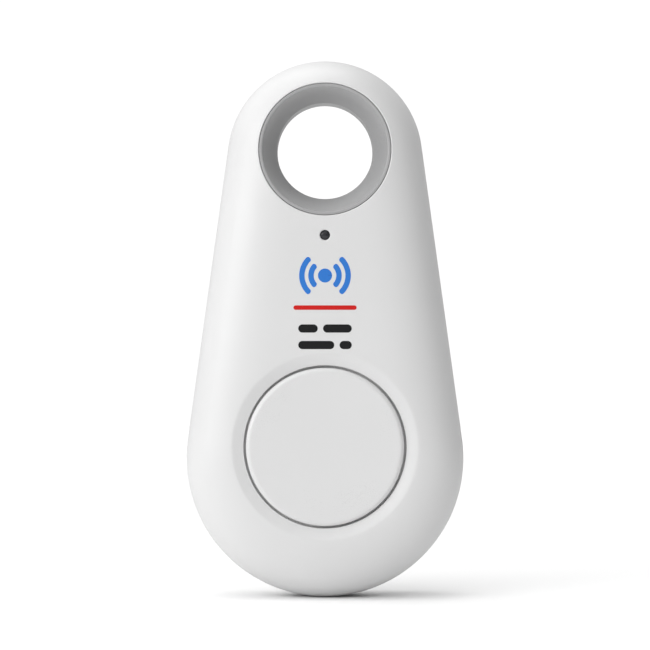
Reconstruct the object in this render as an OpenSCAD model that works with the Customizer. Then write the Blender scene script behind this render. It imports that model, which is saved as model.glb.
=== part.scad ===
// Key-finder tag: a teardrop case in two snapped shells, hung from the hole at its narrow end.
// The frame has its origin on the axis of the key-ring hole, half way through the case.
// +Z runs up the long axis to the hole, +X to the right, and the front faces -Y.
// All sizes are millimetres. A "plan" is the outline in X and Z, and a depth is a place along Y.

/* [Case] */
// Overall height, from the foot to the crown
case_h = 56; // [54:0.5:58]
// Overall thickness, from the front face to the rear face
case_t = 11.5; // [11.5:0.1:12]
// Radius of the narrow upper end
crown_r = 10.2; // [10:0.1:10.6]
// Radius of the wide lower end
foot_r = 14.5; // [14.4:0.1:15]
// Radius that rounds the faces into the side wall
edge_r = 5; // [4.8:0.1:5]
// Thickness of the side walls
wall = 1.3; // [1.2:0.05:1.3]
// Thickness of the front face
face_wall = 1.4; // [1.3:0.05:1.4]

/* [Key-ring hole] */
// How far the hole's axis lies above the centre of the crown's radius
hole_rise = 0.75; // [0.5:0.05:0.8]
// Radius of the bore at its throat
throat_r = 5; // [4.6:0.1:5.1]
// Length of the straight throat
throat_len = 4; // [3.8:0.1:4.4]
// Outer radius of the liner
liner_r = 6.8; // [6.7:0.05:6.9]

/* [Push button] */
// Distance from the hole's axis down to the button's centre
button_drop = 30.7; // [30.2:0.1:31]
// Radius of the button's face
button_r = 8.15; // [8:0.05:8.2]
// Gap all round the button
button_gap = 0.25; // [0.2:0.05:0.25]
// Outer radius of the sloping dish round the button
dish_r = 9.65; // [9.4:0.05:9.8]
// Depth of the dish at the button
dish_depth = 0.5; // [0.3:0.05:0.6]

/* [Status light] */
// Distance from the hole's axis down to the light
light_drop = 8.88; // [8.86:0.02:8.96]
// Radius of the light's hole in the front face
light_r = 0.525; // [0.5:0.025:0.55]

/* [Coin cell] */
// Radius of the cell
cell_r = 10; // [10:0.05:10.05]
// Height of the cell
cell_h = 3.2; // [3.1:0.05:3.2]

/* [Hidden] */
$fn = 96;

// --- the case's outline: two arcs joined by straight flanks ---
crown_z = -hole_rise;
foot_z = crown_z - (case_h - crown_r - foot_r);
span = crown_z - foot_z;
flank_tilt = asin((foot_r - crown_r) / span);
// The flank's length goes with the tilt to six figures, so the crown lands on the centre plane.
digits = 1000000;
flank_len = (foot_r - crown_r) * round(digits * cos(flank_tilt)) / round(digits * sin(flank_tilt));

// --- depths, front to rear ---
front_y = -case_t / 2;
rear_y = case_t / 2;
inner_front_y = front_y + face_wall;
inner_rear_y = rear_y - wall;
board_front_y = -0.9;
board_rear_y = 0.1;
seam_gap = 0.1;
cell_cap_y = 0.45;
cell_face_y = cell_cap_y + cell_h;
cell_rim_y = cell_cap_y + 0.25;
ceramic_y = 3.0;
plate_y = 3.15;
adhesive_y = 3.35;
chamber_y = 3.45;

// --- clearances ---
slip = 0.1;
touch = 0.02;
cut = 1; // how far a cutting tool runs past what it cuts

// --- joint between the two shells ---
lip_w = 0.65; // outer lip that stays on the front shell
tongue_deep = 0.85;
bead_r = 0.25;
bead_proud = 0.07;
bead_len = 12;

// --- liner and its sockets ---
socket_r = 7.75;
collar_r = 7.5;
collar_half = 0.5;
rim_drop = 0.12; // the rims lie this far below the case's surface and follow its curve
rim_y = case_t / 2 - rim_drop;
rim_w = 0.4; // flat width of each rim
flare_rise = rim_y - throat_len / 2;
flare_run = liner_r - rim_w - throat_r;
flare_tilt = 54; // slope of the bowl where it leaves the throat
flare_turn = 2 * (atan2(flare_rise, flare_run) - flare_tilt);
flare_arc = norm([flare_rise, flare_run]) / (2 * sin(flare_turn / 2));

// --- centres in plan ---
button_z = -button_drop;
light_z = -light_drop;
cell_z = foot_z;
buzzer_z = -14.6;
stakes = [[9.1, -12.5], [-9.1, -12.5], [9.2, foot_z - 7.7], [-9.2, foot_z - 7.7]];

// --- button ---
button_hole_r = button_r + button_gap;
dish_slope = (dish_r - button_hole_r) / dish_depth;
cap_top_y = front_y + 0.05;
cap_edge_r = 0.4;
flange_r = 9.15;
flange_y = inner_front_y + 0.05;
flange_t = 0.7;
guide_r = 9.35;
guide_t = 0.8;
key_angles = [30, 150, 270];
nib_r = 1.4;
stem_top_y = -3;

// --- switch ---
switch_w = 5.2;
switch_body_y = -2.2;
switch_floor_y = -1.3;
dome_r = 1.8;
dome_rise = 0.35;
dome_t = 0.08;
dome_arc = (dome_r * dome_r + dome_rise * dome_rise) / (2 * dome_rise);

// --- inside the cell ---
can_t = 0.25;
cap_face_r = cell_r - 1.35;
cap_flange_r = cell_r - 1;
cell_core_r = cap_face_r - can_t - 0.3;
separator_y = cell_cap_y + 0.95;

// --- buzzer ---
plate_r = 6;
ceramic_r = 4.4;
chamber_r = 5.3;
chamber_wall = 0.9;
sound_hole_r = 0.45;
sound_ring_r = 1.9;

// --- small parts on the board: [x, z, turn] of each ---
rear_resistors = [[-7.6, -16.8, 90], [-7.6, -18.4, 90], [3.2, -16.9, 0], [3.2, -17.9, 0]];
front_resistors = [[2.2, -10.4, 0], [-2.2, -10.4, 0], [5, -24, 90]];
rear_capacitors = [[5, -17.4, 90], [6.2, -17.4, 90], [3.8, -20.2, 0], [-4.4, -21.2, 0]];
front_capacitors = [[-5, -24, 90], [6.5, -24, 90], [0, -11.8, 0]];
chip_at = [-4, -18.3];
chip_w = 4;
crystal_at = [0.8, -18];
small_part = [1, 0.5, 0.35]; // length, width and height of a resistor or capacitor
small_end = 0.2;

// ======================= helpers =======================

// A plan outline made solid between two depths.
module plate(y0, y1) {
    translate([0, y1, 0]) rotate([90, 0, 0]) linear_extrude(y1 - y0) children();
}

// A round bar along Y, between two depths.
module disc(r, y0, y1, x = 0, z = 0) {
    translate([x, y1, z]) rotate([90, 0, 0]) cylinder(r = r, h = y1 - y0);
}

// A cone along Y with its own radius at each depth.
module cone(r0, r1, y0, y1, x = 0, z = 0) {
    translate([x, y1, z]) rotate([90, 0, 0]) cylinder(r1 = r1, r2 = r0, h = y1 - y0);
}

// A tube along Y.
module ring(r_in, r_out, y0, y1, x = 0, z = 0) {
    difference() {
        disc(r_out, y0, y1, x, z);
        disc(r_in, y0 - cut, y1 + cut, x, z);
    }
}

// A box between two corners.
module block(low, high) {
    translate(low) cube(high - low);
}

// Turns a profile of radius and depth round an axis along Y.
module turned(x = 0, z = 0) {
    translate([x, 0, z]) rotate([-90, 0, 0]) rotate_extrude() children();
}

// Copies a part onto both sides of the case.
module both_sides() {
    children();
    mirror([1, 0, 0]) children();
}

// The right half of a shape drawn along the right flank, mirrored to make both halves.
// Children are placed from the foot's centre, with x out of the flank and the other axis up it.
module mirrored_plan() {
    both_halves_2d() intersection() {
        translate([0, foot_z]) rotate(flank_tilt) children();
        translate([0, foot_z - 50]) square([50, 150]);
    }
}

module both_halves_2d() {
    children();
    mirror([1, 0]) children();
}

// The case's outline in plan, moved inwards by an inset.
module outline(inset = 0) {
    mirrored_plan() {
        intersection() {
            circle(foot_r - inset);
            translate([-50, -50]) square([100, 50]);
        }
        square([foot_r - inset, flank_len]);
        translate([foot_r - crown_r, flank_len]) intersection() {
            circle(crown_r - inset);
            translate([-50, 0]) square([100, 50]);
        }
    }
}

// Half a cross-section of the case: radius along x, depth along y, with both outer corners round.
module edge_profile(x_in, x_out, y0, y1, r) {
    translate([x_in, y0]) square([x_out - r - x_in, y1 - y0]);
    translate([x_out - r, y0 + r]) square([r, y1 - y0 - 2 * r]);
    translate([x_out - r, y0 + r]) intersection() {
        circle(r);
        translate([0, -r]) square(r);
    }
    translate([x_out - r, y1 - r]) intersection() {
        circle(r);
        square(r);
    }
}

// Places a part on the right flank: its z runs up the flank from the foot's centre.
module on_flank() {
    translate([0, 0, foot_z]) rotate([0, -flank_tilt, 0]) children();
}

// Moves from the foot's centre to the crown's, on a flank. The last digits go in a step of their own.
module up_flank() {
    whole = round(flank_len * 1000) / 1000;
    translate([0, 0, whole]) translate([0, 0, flank_len - whole]) children();
}

module half_space(up) {
    reach = 50;
    translate([-reach, -reach, up ? 0 : -reach]) cube([2 * reach, 2 * reach, reach]);
}

// The whole case as one solid, moved inwards by an inset, between two depths: a turned foot, a
// turned crown and a bar along each flank, which meet on planes through the turned ends' centres.
module rounded_body(inset, y0, y1) {
    r = edge_r - inset;
    reach = 50;
    difference() {
        on_flank() turned() edge_profile(0, foot_r - inset, y0, y1, r);
        both_sides() on_flank() translate([0, -reach, 0]) cube([reach, 2 * reach, reach]);
    }
    difference() {
        on_flank() up_flank() translate([foot_r - crown_r, 0, 0]) turned()
            edge_profile(0, crown_r - inset, y0, y1, r);
        both_sides() on_flank() up_flank() half_space(false);
    }
    both_sides() intersection() {
        on_flank() difference() {
            linear_extrude(flank_len + 4) edge_profile(0, foot_r - inset, y0, y1, r);
            up_flank() half_space(true);
        }
        translate([0, -reach, -2 * reach]) cube([reach, 2 * reach, 3 * reach]);
    }
}

module case_solid() {
    rounded_body(0, front_y, rear_y);
}

module case_cavity() {
    rounded_body(wall, inner_front_y, inner_rear_y);
}

// A band of side wall between two insets, which follows the outline.
module wall_band(outer_inset, inner_inset, y0, y1) {
    plate(y0, y1) difference() {
        outline(outer_inset);
        outline(inner_inset);
    }
}

// Fills the sliver between a liner socket and the crown's wall.
module crown_web(y0, y1) {
    plate(y0, y1) intersection() {
        outline(wall / 2);
        translate([-4.5, 4]) square([9, 8]);
    }
}

// Long low beads on the flanks, which click into grooves.
module flank_beads(r, proud, len) {
    both_sides() on_flank()
        translate([foot_r - lip_w - slip - r + proud, -tongue_deep / 2, (flank_len - len) / 2])
            cylinder(r = r, h = len);
}

// A slot at the foot for a coin, which pries the shells apart.
module pry_slot() {
    block([-3, -0.45, foot_z - foot_r - cut], [3, 0.45, foot_z - foot_r + 0.6]);
}

// A thin strip of bent sheet: a path in x and depth, given a thickness, and a width along Z.
module bent_strip(path, t, z0, z1) {
    back = [for (i = [len(path) - 1:-1:0]) [path[i].x, path[i].y + t]];
    translate([0, 0, z0]) linear_extrude(z1 - z0) polygon(concat(path, back));
}

// The same strip with its path in z and depth, and its width along X.
module bent_strip_z(path, t, x0, x1) {
    back = [for (i = [len(path) - 1:-1:0]) [path[i].x + t, path[i].y]];
    translate([x1, 0, 0]) rotate([0, -90, 0]) linear_extrude(x1 - x0) polygon(concat(path, back));
}

// Puts a small part made along X on the board, at [x, z, turn].
// side is 1 for the rear face and -1 for the front.
module on_board(place, side) {
    y = side > 0 ? board_rear_y : board_front_y;
    translate([place[0], y, place[1]]) rotate([0, place[2], 0]) scale_y(side) children();
}

module scale_y(side) {
    if (side > 0) children();
    else mirror([0, 1, 0]) children();
}

module small_body() {
    block([-small_part.x / 2 + small_end, 0, -small_part.y / 2],
          [small_part.x / 2 - small_end, small_part.z, small_part.y / 2]);
}

module small_ends() {
    both_sides() block([small_part.x / 2 - small_end, 0, -small_part.y / 2],
                       [small_part.x / 2, small_part.z, small_part.y / 2]);
}

// ======================= case =======================

// What stands inside the front shell: the liner's socket, the button's guide and the board's posts.
module front_features() {
    disc(socket_r, front_y, -collar_half - slip);
    crown_web(front_y, -tongue_deep - slip * 2);
    ring(guide_r, guide_r + guide_t, front_y, -3, z = button_z);
    for (a = key_angles) translate([0, 0, button_z]) rotate([0, -a, 0])
        block([flange_r - 0.35, front_y, -0.5], [guide_r + 0.3, -3, 0.5]);
    for (p = stakes) disc(0.8, front_y, board_front_y, p.x, p.y);
    ring(light_r + 0.4, light_r + 0.9, front_y, inner_front_y + 1.6, z = light_z);
}

module front_cover() {
    color("white") {
        difference() {
            case_solid();
            block([-30, -seam_gap / 2, -60], [30, 20, 20]);
            difference() {
                case_cavity();
                front_features();
            }
            wall_band(lip_w, wall + 0.2, -tongue_deep - slip, 1);
            flank_beads(bead_r + 0.05, bead_proud + 0.1, bead_len + 0.4);
            disc(liner_r + slip / 2, front_y - cut, 0);
            disc(button_hole_r, front_y - cut, inner_front_y + cut / 2, z = button_z);
            cone(dish_r + slip * dish_slope, button_hole_r,
                 front_y - slip, front_y + dish_depth, z = button_z);
            disc(light_r, front_y - cut, inner_front_y + cut, z = light_z);
            pry_slot();
        }
        for (p = stakes) {
            disc(0.4, board_front_y - 0.3, board_rear_y + 0.1, p.x, p.y);
            disc(0.7, board_rear_y, board_rear_y + 0.3, p.x, p.y);
        }
    }
}

// What stands inside the rear shell: the liner's socket, the buzzer's chamber and the cell's stop.
module rear_features() {
    disc(socket_r, collar_half + slip, rear_y);
    crown_web(1, rear_y);
    ring(chamber_r, chamber_r + chamber_wall, chamber_y, rear_y, z = buzzer_z);
    ring(7.6, 8.4, cell_face_y + 0.15, rear_y, z = cell_z);
}

module rear_cover() {
    color("white") difference() {
        union() {
            difference() {
                case_solid();
                block([-30, -20, -60], [30, seam_gap / 2, 20]);
                difference() {
                    case_cavity();
                    rear_features();
                }
            }
            wall_band(lip_w + slip, wall, -tongue_deep, 0.3);
            flank_beads(bead_r, bead_proud, bead_len);
        }
        disc(liner_r + slip, 0, rear_y + cut);
        disc(sound_hole_r, inner_rear_y - 0.2, rear_y + cut, z = buzzer_z);
        for (a = [0:60:300])
            disc(sound_hole_r, inner_rear_y - 0.2, rear_y + cut,
                 sound_ring_r * sin(a), buzzer_z + sound_ring_r * cos(a));
        pry_slot();
    }
}

// Half the liner's profile: a rim, a collar at the middle, a straight throat and a bowl outside it.
module liner_half_profile() {
    difference() {
        union() {
            translate([throat_r, 0]) square([liner_r - throat_r, rim_y]);
            square([collar_r, collar_half]);
        }
        square([throat_r, rim_y]);
        translate([throat_r - flare_arc * sin(flare_tilt), throat_len / 2 + flare_arc * cos(flare_tilt)])
            circle(flare_arc);
    }
}

module ring_liner() {
    color("silver") intersection() {
        turned() {
            liner_half_profile();
            mirror([0, 1]) liner_half_profile();
        }
        rounded_body(rim_drop, -rim_y, rim_y);
    }
}

module light_pipe() {
    color("dimgray") {
        disc(light_r - touch, front_y + 0.2, inner_front_y + 0.3, z = light_z);
        disc(light_r + 0.2, inner_front_y + touch, inner_front_y + 0.6, z = light_z);
        disc(light_r - touch, inner_front_y + 0.5, -1.7, z = light_z);
    }
}

// ======================= circuit board =======================

module circuit_board() {
    color("seagreen") difference() {
        plate(board_front_y, board_rear_y) intersection() {
            outline(wall + 0.25);
            translate([-20, -60]) square([40, 54.5]);
        }
        disc(socket_r + 0.3, -2, 1);
        for (p = stakes) disc(0.45, -2, 1, p.x, p.y);
    }
}

// Gold test pads on the rear face of the board.
module board_pads() {
    color("gold") for (p = [[-8.6, -8.2], [-8.6, -9.8], [-7.1, -8.2], [-7.1, -9.8], [-7.1, -11.4]])
        disc(0.5, board_rear_y, board_rear_y + 0.04, p.x, p.y);
}

// A meandering printed aerial on the rear face.
module antenna_trace() {
    left = 5.9;
    right = 9;
    pitch = 0.8;
    w = 0.32;
    color("gold") plate(board_rear_y, board_rear_y + 0.04) {
        for (i = [0:4]) translate([left, -7.2 - pitch * i]) square([right - left, w]);
        for (i = [0:3]) translate([i % 2 == 0 ? right - w : left, -7.2 - pitch * (i + 1)])
            square([w, pitch + w]);
        translate([left, -15.4]) square([w, 5.3]);
    }
}

module radio_chip() {
    half = chip_w / 2;
    color("black") difference() {
        block([chip_at.x - half, board_rear_y + 0.05, chip_at.y - half],
              [chip_at.x + half, board_rear_y + 0.9, chip_at.y + half]);
        disc(0.25, board_rear_y + 0.84, 2, chip_at.x - half + 0.6, chip_at.y + half - 0.6);
    }
}

// The chip's solder lands, which show as a row along each side.
module chip_pads() {
    pitch = 0.5;
    count = 6;
    reach = chip_w / 2;
    color("silver") translate([chip_at.x, 0, chip_at.y]) for (side = [0:90:270])
        rotate([0, side, 0]) for (i = [0:count - 1])
            block([reach - 0.25, board_rear_y, (i - (count - 1) / 2) * pitch - 0.11],
                  [reach + 0.2, board_rear_y + 0.05, (i - (count - 1) / 2) * pitch + 0.11]);
}

module crystal_base() {
    color("tan") block([crystal_at.x - 1.25, board_rear_y, crystal_at.y - 1],
                       [crystal_at.x + 1.25, board_rear_y + 0.3, crystal_at.y + 1]);
}

module crystal_can() {
    color("silver") block([crystal_at.x - 1.1, board_rear_y + 0.3, crystal_at.y - 0.85],
                          [crystal_at.x + 1.1, board_rear_y + 0.65, crystal_at.y + 0.85]);
}

module resistor_bodies() {
    color("black") {
        for (p = rear_resistors) on_board(p, 1) small_body();
        for (p = front_resistors) on_board(p, -1) small_body();
    }
}

module resistor_ends() {
    color("silver") {
        for (p = rear_resistors) on_board(p, 1) small_ends();
        for (p = front_resistors) on_board(p, -1) small_ends();
    }
}

module capacitor_bodies() {
    color("tan") {
        for (p = rear_capacitors) on_board(p, 1) small_body();
        for (p = front_capacitors) on_board(p, -1) small_body();
    }
}

module capacitor_ends() {
    color("silver") {
        for (p = rear_capacitors) on_board(p, 1) small_ends();
        for (p = front_capacitors) on_board(p, -1) small_ends();
    }
}

module led_base() {
    color("white") block([-0.8, board_front_y - 0.3, light_z - 0.4],
                         [0.8, board_front_y, light_z + 0.4]);
}

module led_lens() {
    color("lightyellow") block([-0.45, board_front_y - 0.65, light_z - 0.35],
                               [0.45, board_front_y - 0.3, light_z + 0.35]);
}

// ======================= switch =======================

module switch_base() {
    half = switch_w / 2;
    color("black") difference() {
        block([-half, switch_body_y, button_z - half], [half, board_front_y, button_z + half]);
        disc(dome_r + 0.15, switch_body_y - cut, switch_floor_y, z = button_z);
    }
}

module switch_terminals() {
    half = switch_w / 2;
    color("silver") translate([0, 0, button_z]) both_sides() for (z = [-1.6, 1.6])
        block([half + 0.01, board_front_y - 0.2, z - 0.4], [half + 0.9, board_front_y, z + 0.4]);
}

// A shallow snap dome, part of a thin ball.
module switch_dome() {
    color("silver") turned(z = button_z) intersection() {
        translate([0, switch_floor_y - dome_rise + dome_arc]) difference() {
            circle(dome_arc);
            circle(dome_arc - dome_t);
        }
        translate([0, switch_floor_y - 1]) square([dome_r, 1]);
    }
}

module switch_plunger() {
    color("white") {
        disc(dome_r - 0.1, switch_body_y + 0.07, switch_floor_y - dome_rise - touch, z = button_z);
        disc(1.2, stem_top_y, switch_body_y + 0.2, z = button_z);
    }
}

module switch_frame() {
    half = switch_w / 2;
    t = 0.15;
    color("silver") translate([0, 0, button_z]) {
        difference() {
            block([-half, switch_body_y - t, -half], [half, switch_body_y, half]);
            disc(1.3, switch_body_y - cut, switch_body_y + cut);
        }
        for (a = [90, 270]) rotate([0, a, 0])
            block([half, switch_body_y - t, -0.8], [half + t, board_front_y - 0.4, 0.8]);
        for (a = [90, 270]) rotate([0, a, 0])
            block([half - 0.2, switch_body_y - t, -0.8], [half + t, switch_body_y, 0.8]);
    }
}

// ======================= button =======================

module button_cap() {
    inner_r = button_r - 0.9;
    color("whitesmoke") {
        difference() {
            turned(z = button_z) {
                translate([0, cap_top_y]) square([button_r - cap_edge_r, flange_y - cap_top_y]);
                translate([0, cap_top_y + cap_edge_r])
                    square([button_r, flange_y - cap_top_y - cap_edge_r]);
                translate([button_r - cap_edge_r, cap_top_y + cap_edge_r]) intersection() {
                    circle(cap_edge_r);
                    translate([0, -cap_edge_r]) square(cap_edge_r);
                }
                translate([0, flange_y]) square([flange_r, flange_t]);
            }
            ring(nib_r, inner_r, cap_top_y + 1.2, 0, z = button_z);
            disc(nib_r + cut, flange_y + flange_t - touch, 0, z = button_z);
            for (a = key_angles) translate([0, 0, button_z]) rotate([0, -a, 0])
                block([flange_r - 0.5, flange_y - 0.01, -0.7], [flange_r + cut, 0, 0.7]);
        }
        disc(nib_r, cap_top_y + 1, stem_top_y - touch, z = button_z);
        for (a = [0:60:120]) translate([0, 0, button_z]) rotate([0, a, 0])
            block([-inner_r - 0.2, cap_top_y + 1, -0.3], [inner_r + 0.2, flange_y + 0.4, 0.3]);
    }
}

// ======================= cell and its holder =======================

// A cup for the cell, open at the top for a contact and at the foot for a fingertip.
module cell_cradle() {
    well_r = cell_r + 0.12;
    color("dimgray") difference() {
        disc(well_r + 0.88, board_rear_y, 2.9, z = cell_z);
        disc(well_r, cell_rim_y - touch, 4, z = cell_z);
        disc(cell_r - 1, 0, 4, z = cell_z);
        block([-3.6, 0, cell_z + 5], [3.6, 4, cell_z + 12]);
        block([-2.8, cell_rim_y - touch, cell_z - 12], [2.8, 4, cell_z - 5]);
    }
}

// A spring leaf that presses on the cell's side.
module cell_positive_spring() {
    z0 = cell_z + cell_r + touch;
    t = 0.15;
    color("silver") {
        bent_strip_z([
            [z0 + 0.45, board_rear_y], [z0 + 0.3, 0.8], [z0, 1.9], [z0 + 0.35, 2.8]
        ], t, -1.7, 1.7);
        block([-1.7, board_rear_y, z0 + 0.5], [1.7, board_rear_y + t, z0 + 1.9]);
    }
}

// A low sprung leaf under the cell's cap.
module cell_negative_spring() {
    color("silver") bent_strip([
        [-4.5, board_rear_y], [-2.2, board_rear_y], [-0.6, cell_cap_y - 0.12 - touch],
        [0.6, cell_cap_y - 0.12 - touch], [2.4, board_rear_y + 0.05]
    ], 0.12, cell_z - 2, cell_z + 2);
}

// The positive side of the cell, a pressed cup whose flat face looks to the rear.
module cell_can() {
    corner = 0.3;
    straight = cell_face_y - corner - cell_rim_y;
    color("silver") turned(z = cell_z) difference() {
        union() {
            translate([0, cell_rim_y]) square([cell_r, straight]);
            translate([0, cell_rim_y]) square([cell_r - corner, straight + corner]);
            translate([cell_r - corner, cell_face_y - corner]) intersection() {
                circle(corner);
                square(corner);
            }
        }
        translate([0, cell_rim_y + can_t]) square([cell_r - can_t, cell_face_y - 2 * can_t - cell_rim_y]);
        translate([0, cell_rim_y - cut]) square([cell_r - 3 * can_t, 2 * cut]);
    }
}

module cell_gasket() {
    color("gray") turned(z = cell_z) {
        translate([cap_flange_r + touch, cell_rim_y + 0.02]) square([can_t - 2 * touch, 0.8]);
        translate([cap_flange_r + touch, cell_rim_y + can_t + 0.01])
            square([cell_r - can_t - cap_flange_r - 2 * touch, 0.3]);
    }
}

// The negative side of the cell, a shallow cup with a flange that the gasket grips.
module cell_cap() {
    color("silver") turned(z = cell_z) {
        translate([0, cell_cap_y]) square([cap_face_r, can_t]);
        translate([cap_face_r - can_t, cell_cap_y]) square([can_t, 0.6]);
        translate([cap_face_r - can_t, cell_cap_y + 0.35]) square([cap_flange_r - cap_face_r + can_t, can_t]);
    }
}

module cell_anode() {
    color("silver") disc(cell_core_r, cell_cap_y + can_t + touch, separator_y, z = cell_z);
}

module cell_separator() {
    color("white") disc(cell_core_r + 0.2, separator_y + touch, separator_y + 0.12, z = cell_z);
}

module cell_cathode() {
    color("black") disc(cell_core_r, separator_y + 0.14, cell_face_y - can_t - touch, z = cell_z);
}

// ======================= buzzer =======================

module buzzer_centre_spring() {
    tip_y = ceramic_y - touch - 0.15;
    color("gold") bent_strip([
        [4.9, board_rear_y], [3, board_rear_y], [2.6, 0.5], [0.5, tip_y], [-0.5, tip_y], [-1, tip_y - 0.4]
    ], 0.15, buzzer_z - 0.8, buzzer_z + 0.8);
}

module buzzer_rim_spring() {
    tip_y = plate_y - touch - 0.15;
    color("gold") bent_strip([
        [-8.8, board_rear_y], [-7.4, board_rear_y], [-7, 0.5], [-5.5, tip_y], [-4.9, tip_y],
        [-4.65, tip_y - 0.3]
    ], 0.15, buzzer_z - 0.8, buzzer_z + 0.8);
}

module buzzer_adhesive() {
    color("khaki") ring(chamber_r, plate_r, adhesive_y, chamber_y, z = buzzer_z);
}

module buzzer_plate() {
    color("goldenrod") disc(plate_r, plate_y, adhesive_y, z = buzzer_z);
}

module buzzer_ceramic() {
    color("lightgray") disc(ceramic_r, ceramic_y, plate_y, z = buzzer_z);
}

module sound_mesh() {
    color("black") disc(3.2, inner_rear_y - 0.12, inner_rear_y, z = buzzer_z);
}

module foam_pad() {
    color("dimgray") disc(5, cell_face_y + touch, inner_rear_y, z = cell_z);
}

// ======================= output =======================

front_cover();
ring_liner();
light_pipe();
circuit_board();
board_pads();
antenna_trace();
radio_chip();
chip_pads();
crystal_base();
crystal_can();
resistor_bodies();
resistor_ends();
capacitor_bodies();
capacitor_ends();
led_base();
led_lens();
switch_base();
switch_terminals();
switch_dome();
switch_frame();
cell_cradle();
cell_positive_spring();
cell_negative_spring();
buzzer_centre_spring();
buzzer_rim_spring();
button_cap();
switch_plunger();
rear_cover();
buzzer_adhesive();
buzzer_plate();
buzzer_ceramic();
sound_mesh();
foam_pad();
cell_can();
cell_gasket();
cell_cap();
cell_anode();
cell_separator();
cell_cathode();
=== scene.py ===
"""A key-finder tag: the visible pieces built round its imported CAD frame.

The tag stands on its foot with its face to -Y. Sizes in the classes are millimetres, in the
frame of the CAD, and every mesh is scaled to metres as it is made.
"""

import logging
import math
from collections.abc import Callable
from dataclasses import dataclass, field
from enum import Enum

import bpy
import numpy as np
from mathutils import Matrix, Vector

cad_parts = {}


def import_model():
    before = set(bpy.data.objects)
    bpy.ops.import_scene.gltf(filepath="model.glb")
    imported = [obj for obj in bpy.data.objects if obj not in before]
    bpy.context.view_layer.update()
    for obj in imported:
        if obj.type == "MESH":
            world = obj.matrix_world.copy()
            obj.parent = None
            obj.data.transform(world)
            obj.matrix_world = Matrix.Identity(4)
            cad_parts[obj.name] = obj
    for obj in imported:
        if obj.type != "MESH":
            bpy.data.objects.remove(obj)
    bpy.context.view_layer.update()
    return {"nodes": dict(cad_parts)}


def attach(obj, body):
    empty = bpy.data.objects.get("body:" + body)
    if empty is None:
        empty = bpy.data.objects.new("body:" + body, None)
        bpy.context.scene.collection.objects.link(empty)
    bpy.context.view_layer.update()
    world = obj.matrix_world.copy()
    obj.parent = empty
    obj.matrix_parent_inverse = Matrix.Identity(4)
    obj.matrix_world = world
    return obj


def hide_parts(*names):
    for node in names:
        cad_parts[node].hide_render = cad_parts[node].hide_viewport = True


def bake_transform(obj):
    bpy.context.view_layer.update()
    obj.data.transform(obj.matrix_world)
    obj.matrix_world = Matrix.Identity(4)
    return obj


log = logging.getLogger("tag")

Array = np.ndarray
Pair = tuple[float, float]
Triple = tuple[float, float, float]
Piece = bpy.types.Object
Node = bpy.types.Node
Socket = bpy.types.NodeSocket
Tree = bpy.types.NodeTree

MM = 0.001
WELD_DIGITS = 4
ROUND_STEPS = 288
FRONTWARDS = (0.0, -1.0, 0.0)


class Side(Enum):
    """The face of the case that a piece belongs to, as the sign of its depth."""

    FRONT = -1.0
    REAR = 1.0


class Body(Enum):
    """The CAD bodies that pieces ride on."""

    CASE = "case"
    BUTTON = "button"
    PLUNGER = "plunger"
    REAR_SHELL = "rear_shell"


# ---------------------------------------------------------------- meshes


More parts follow.
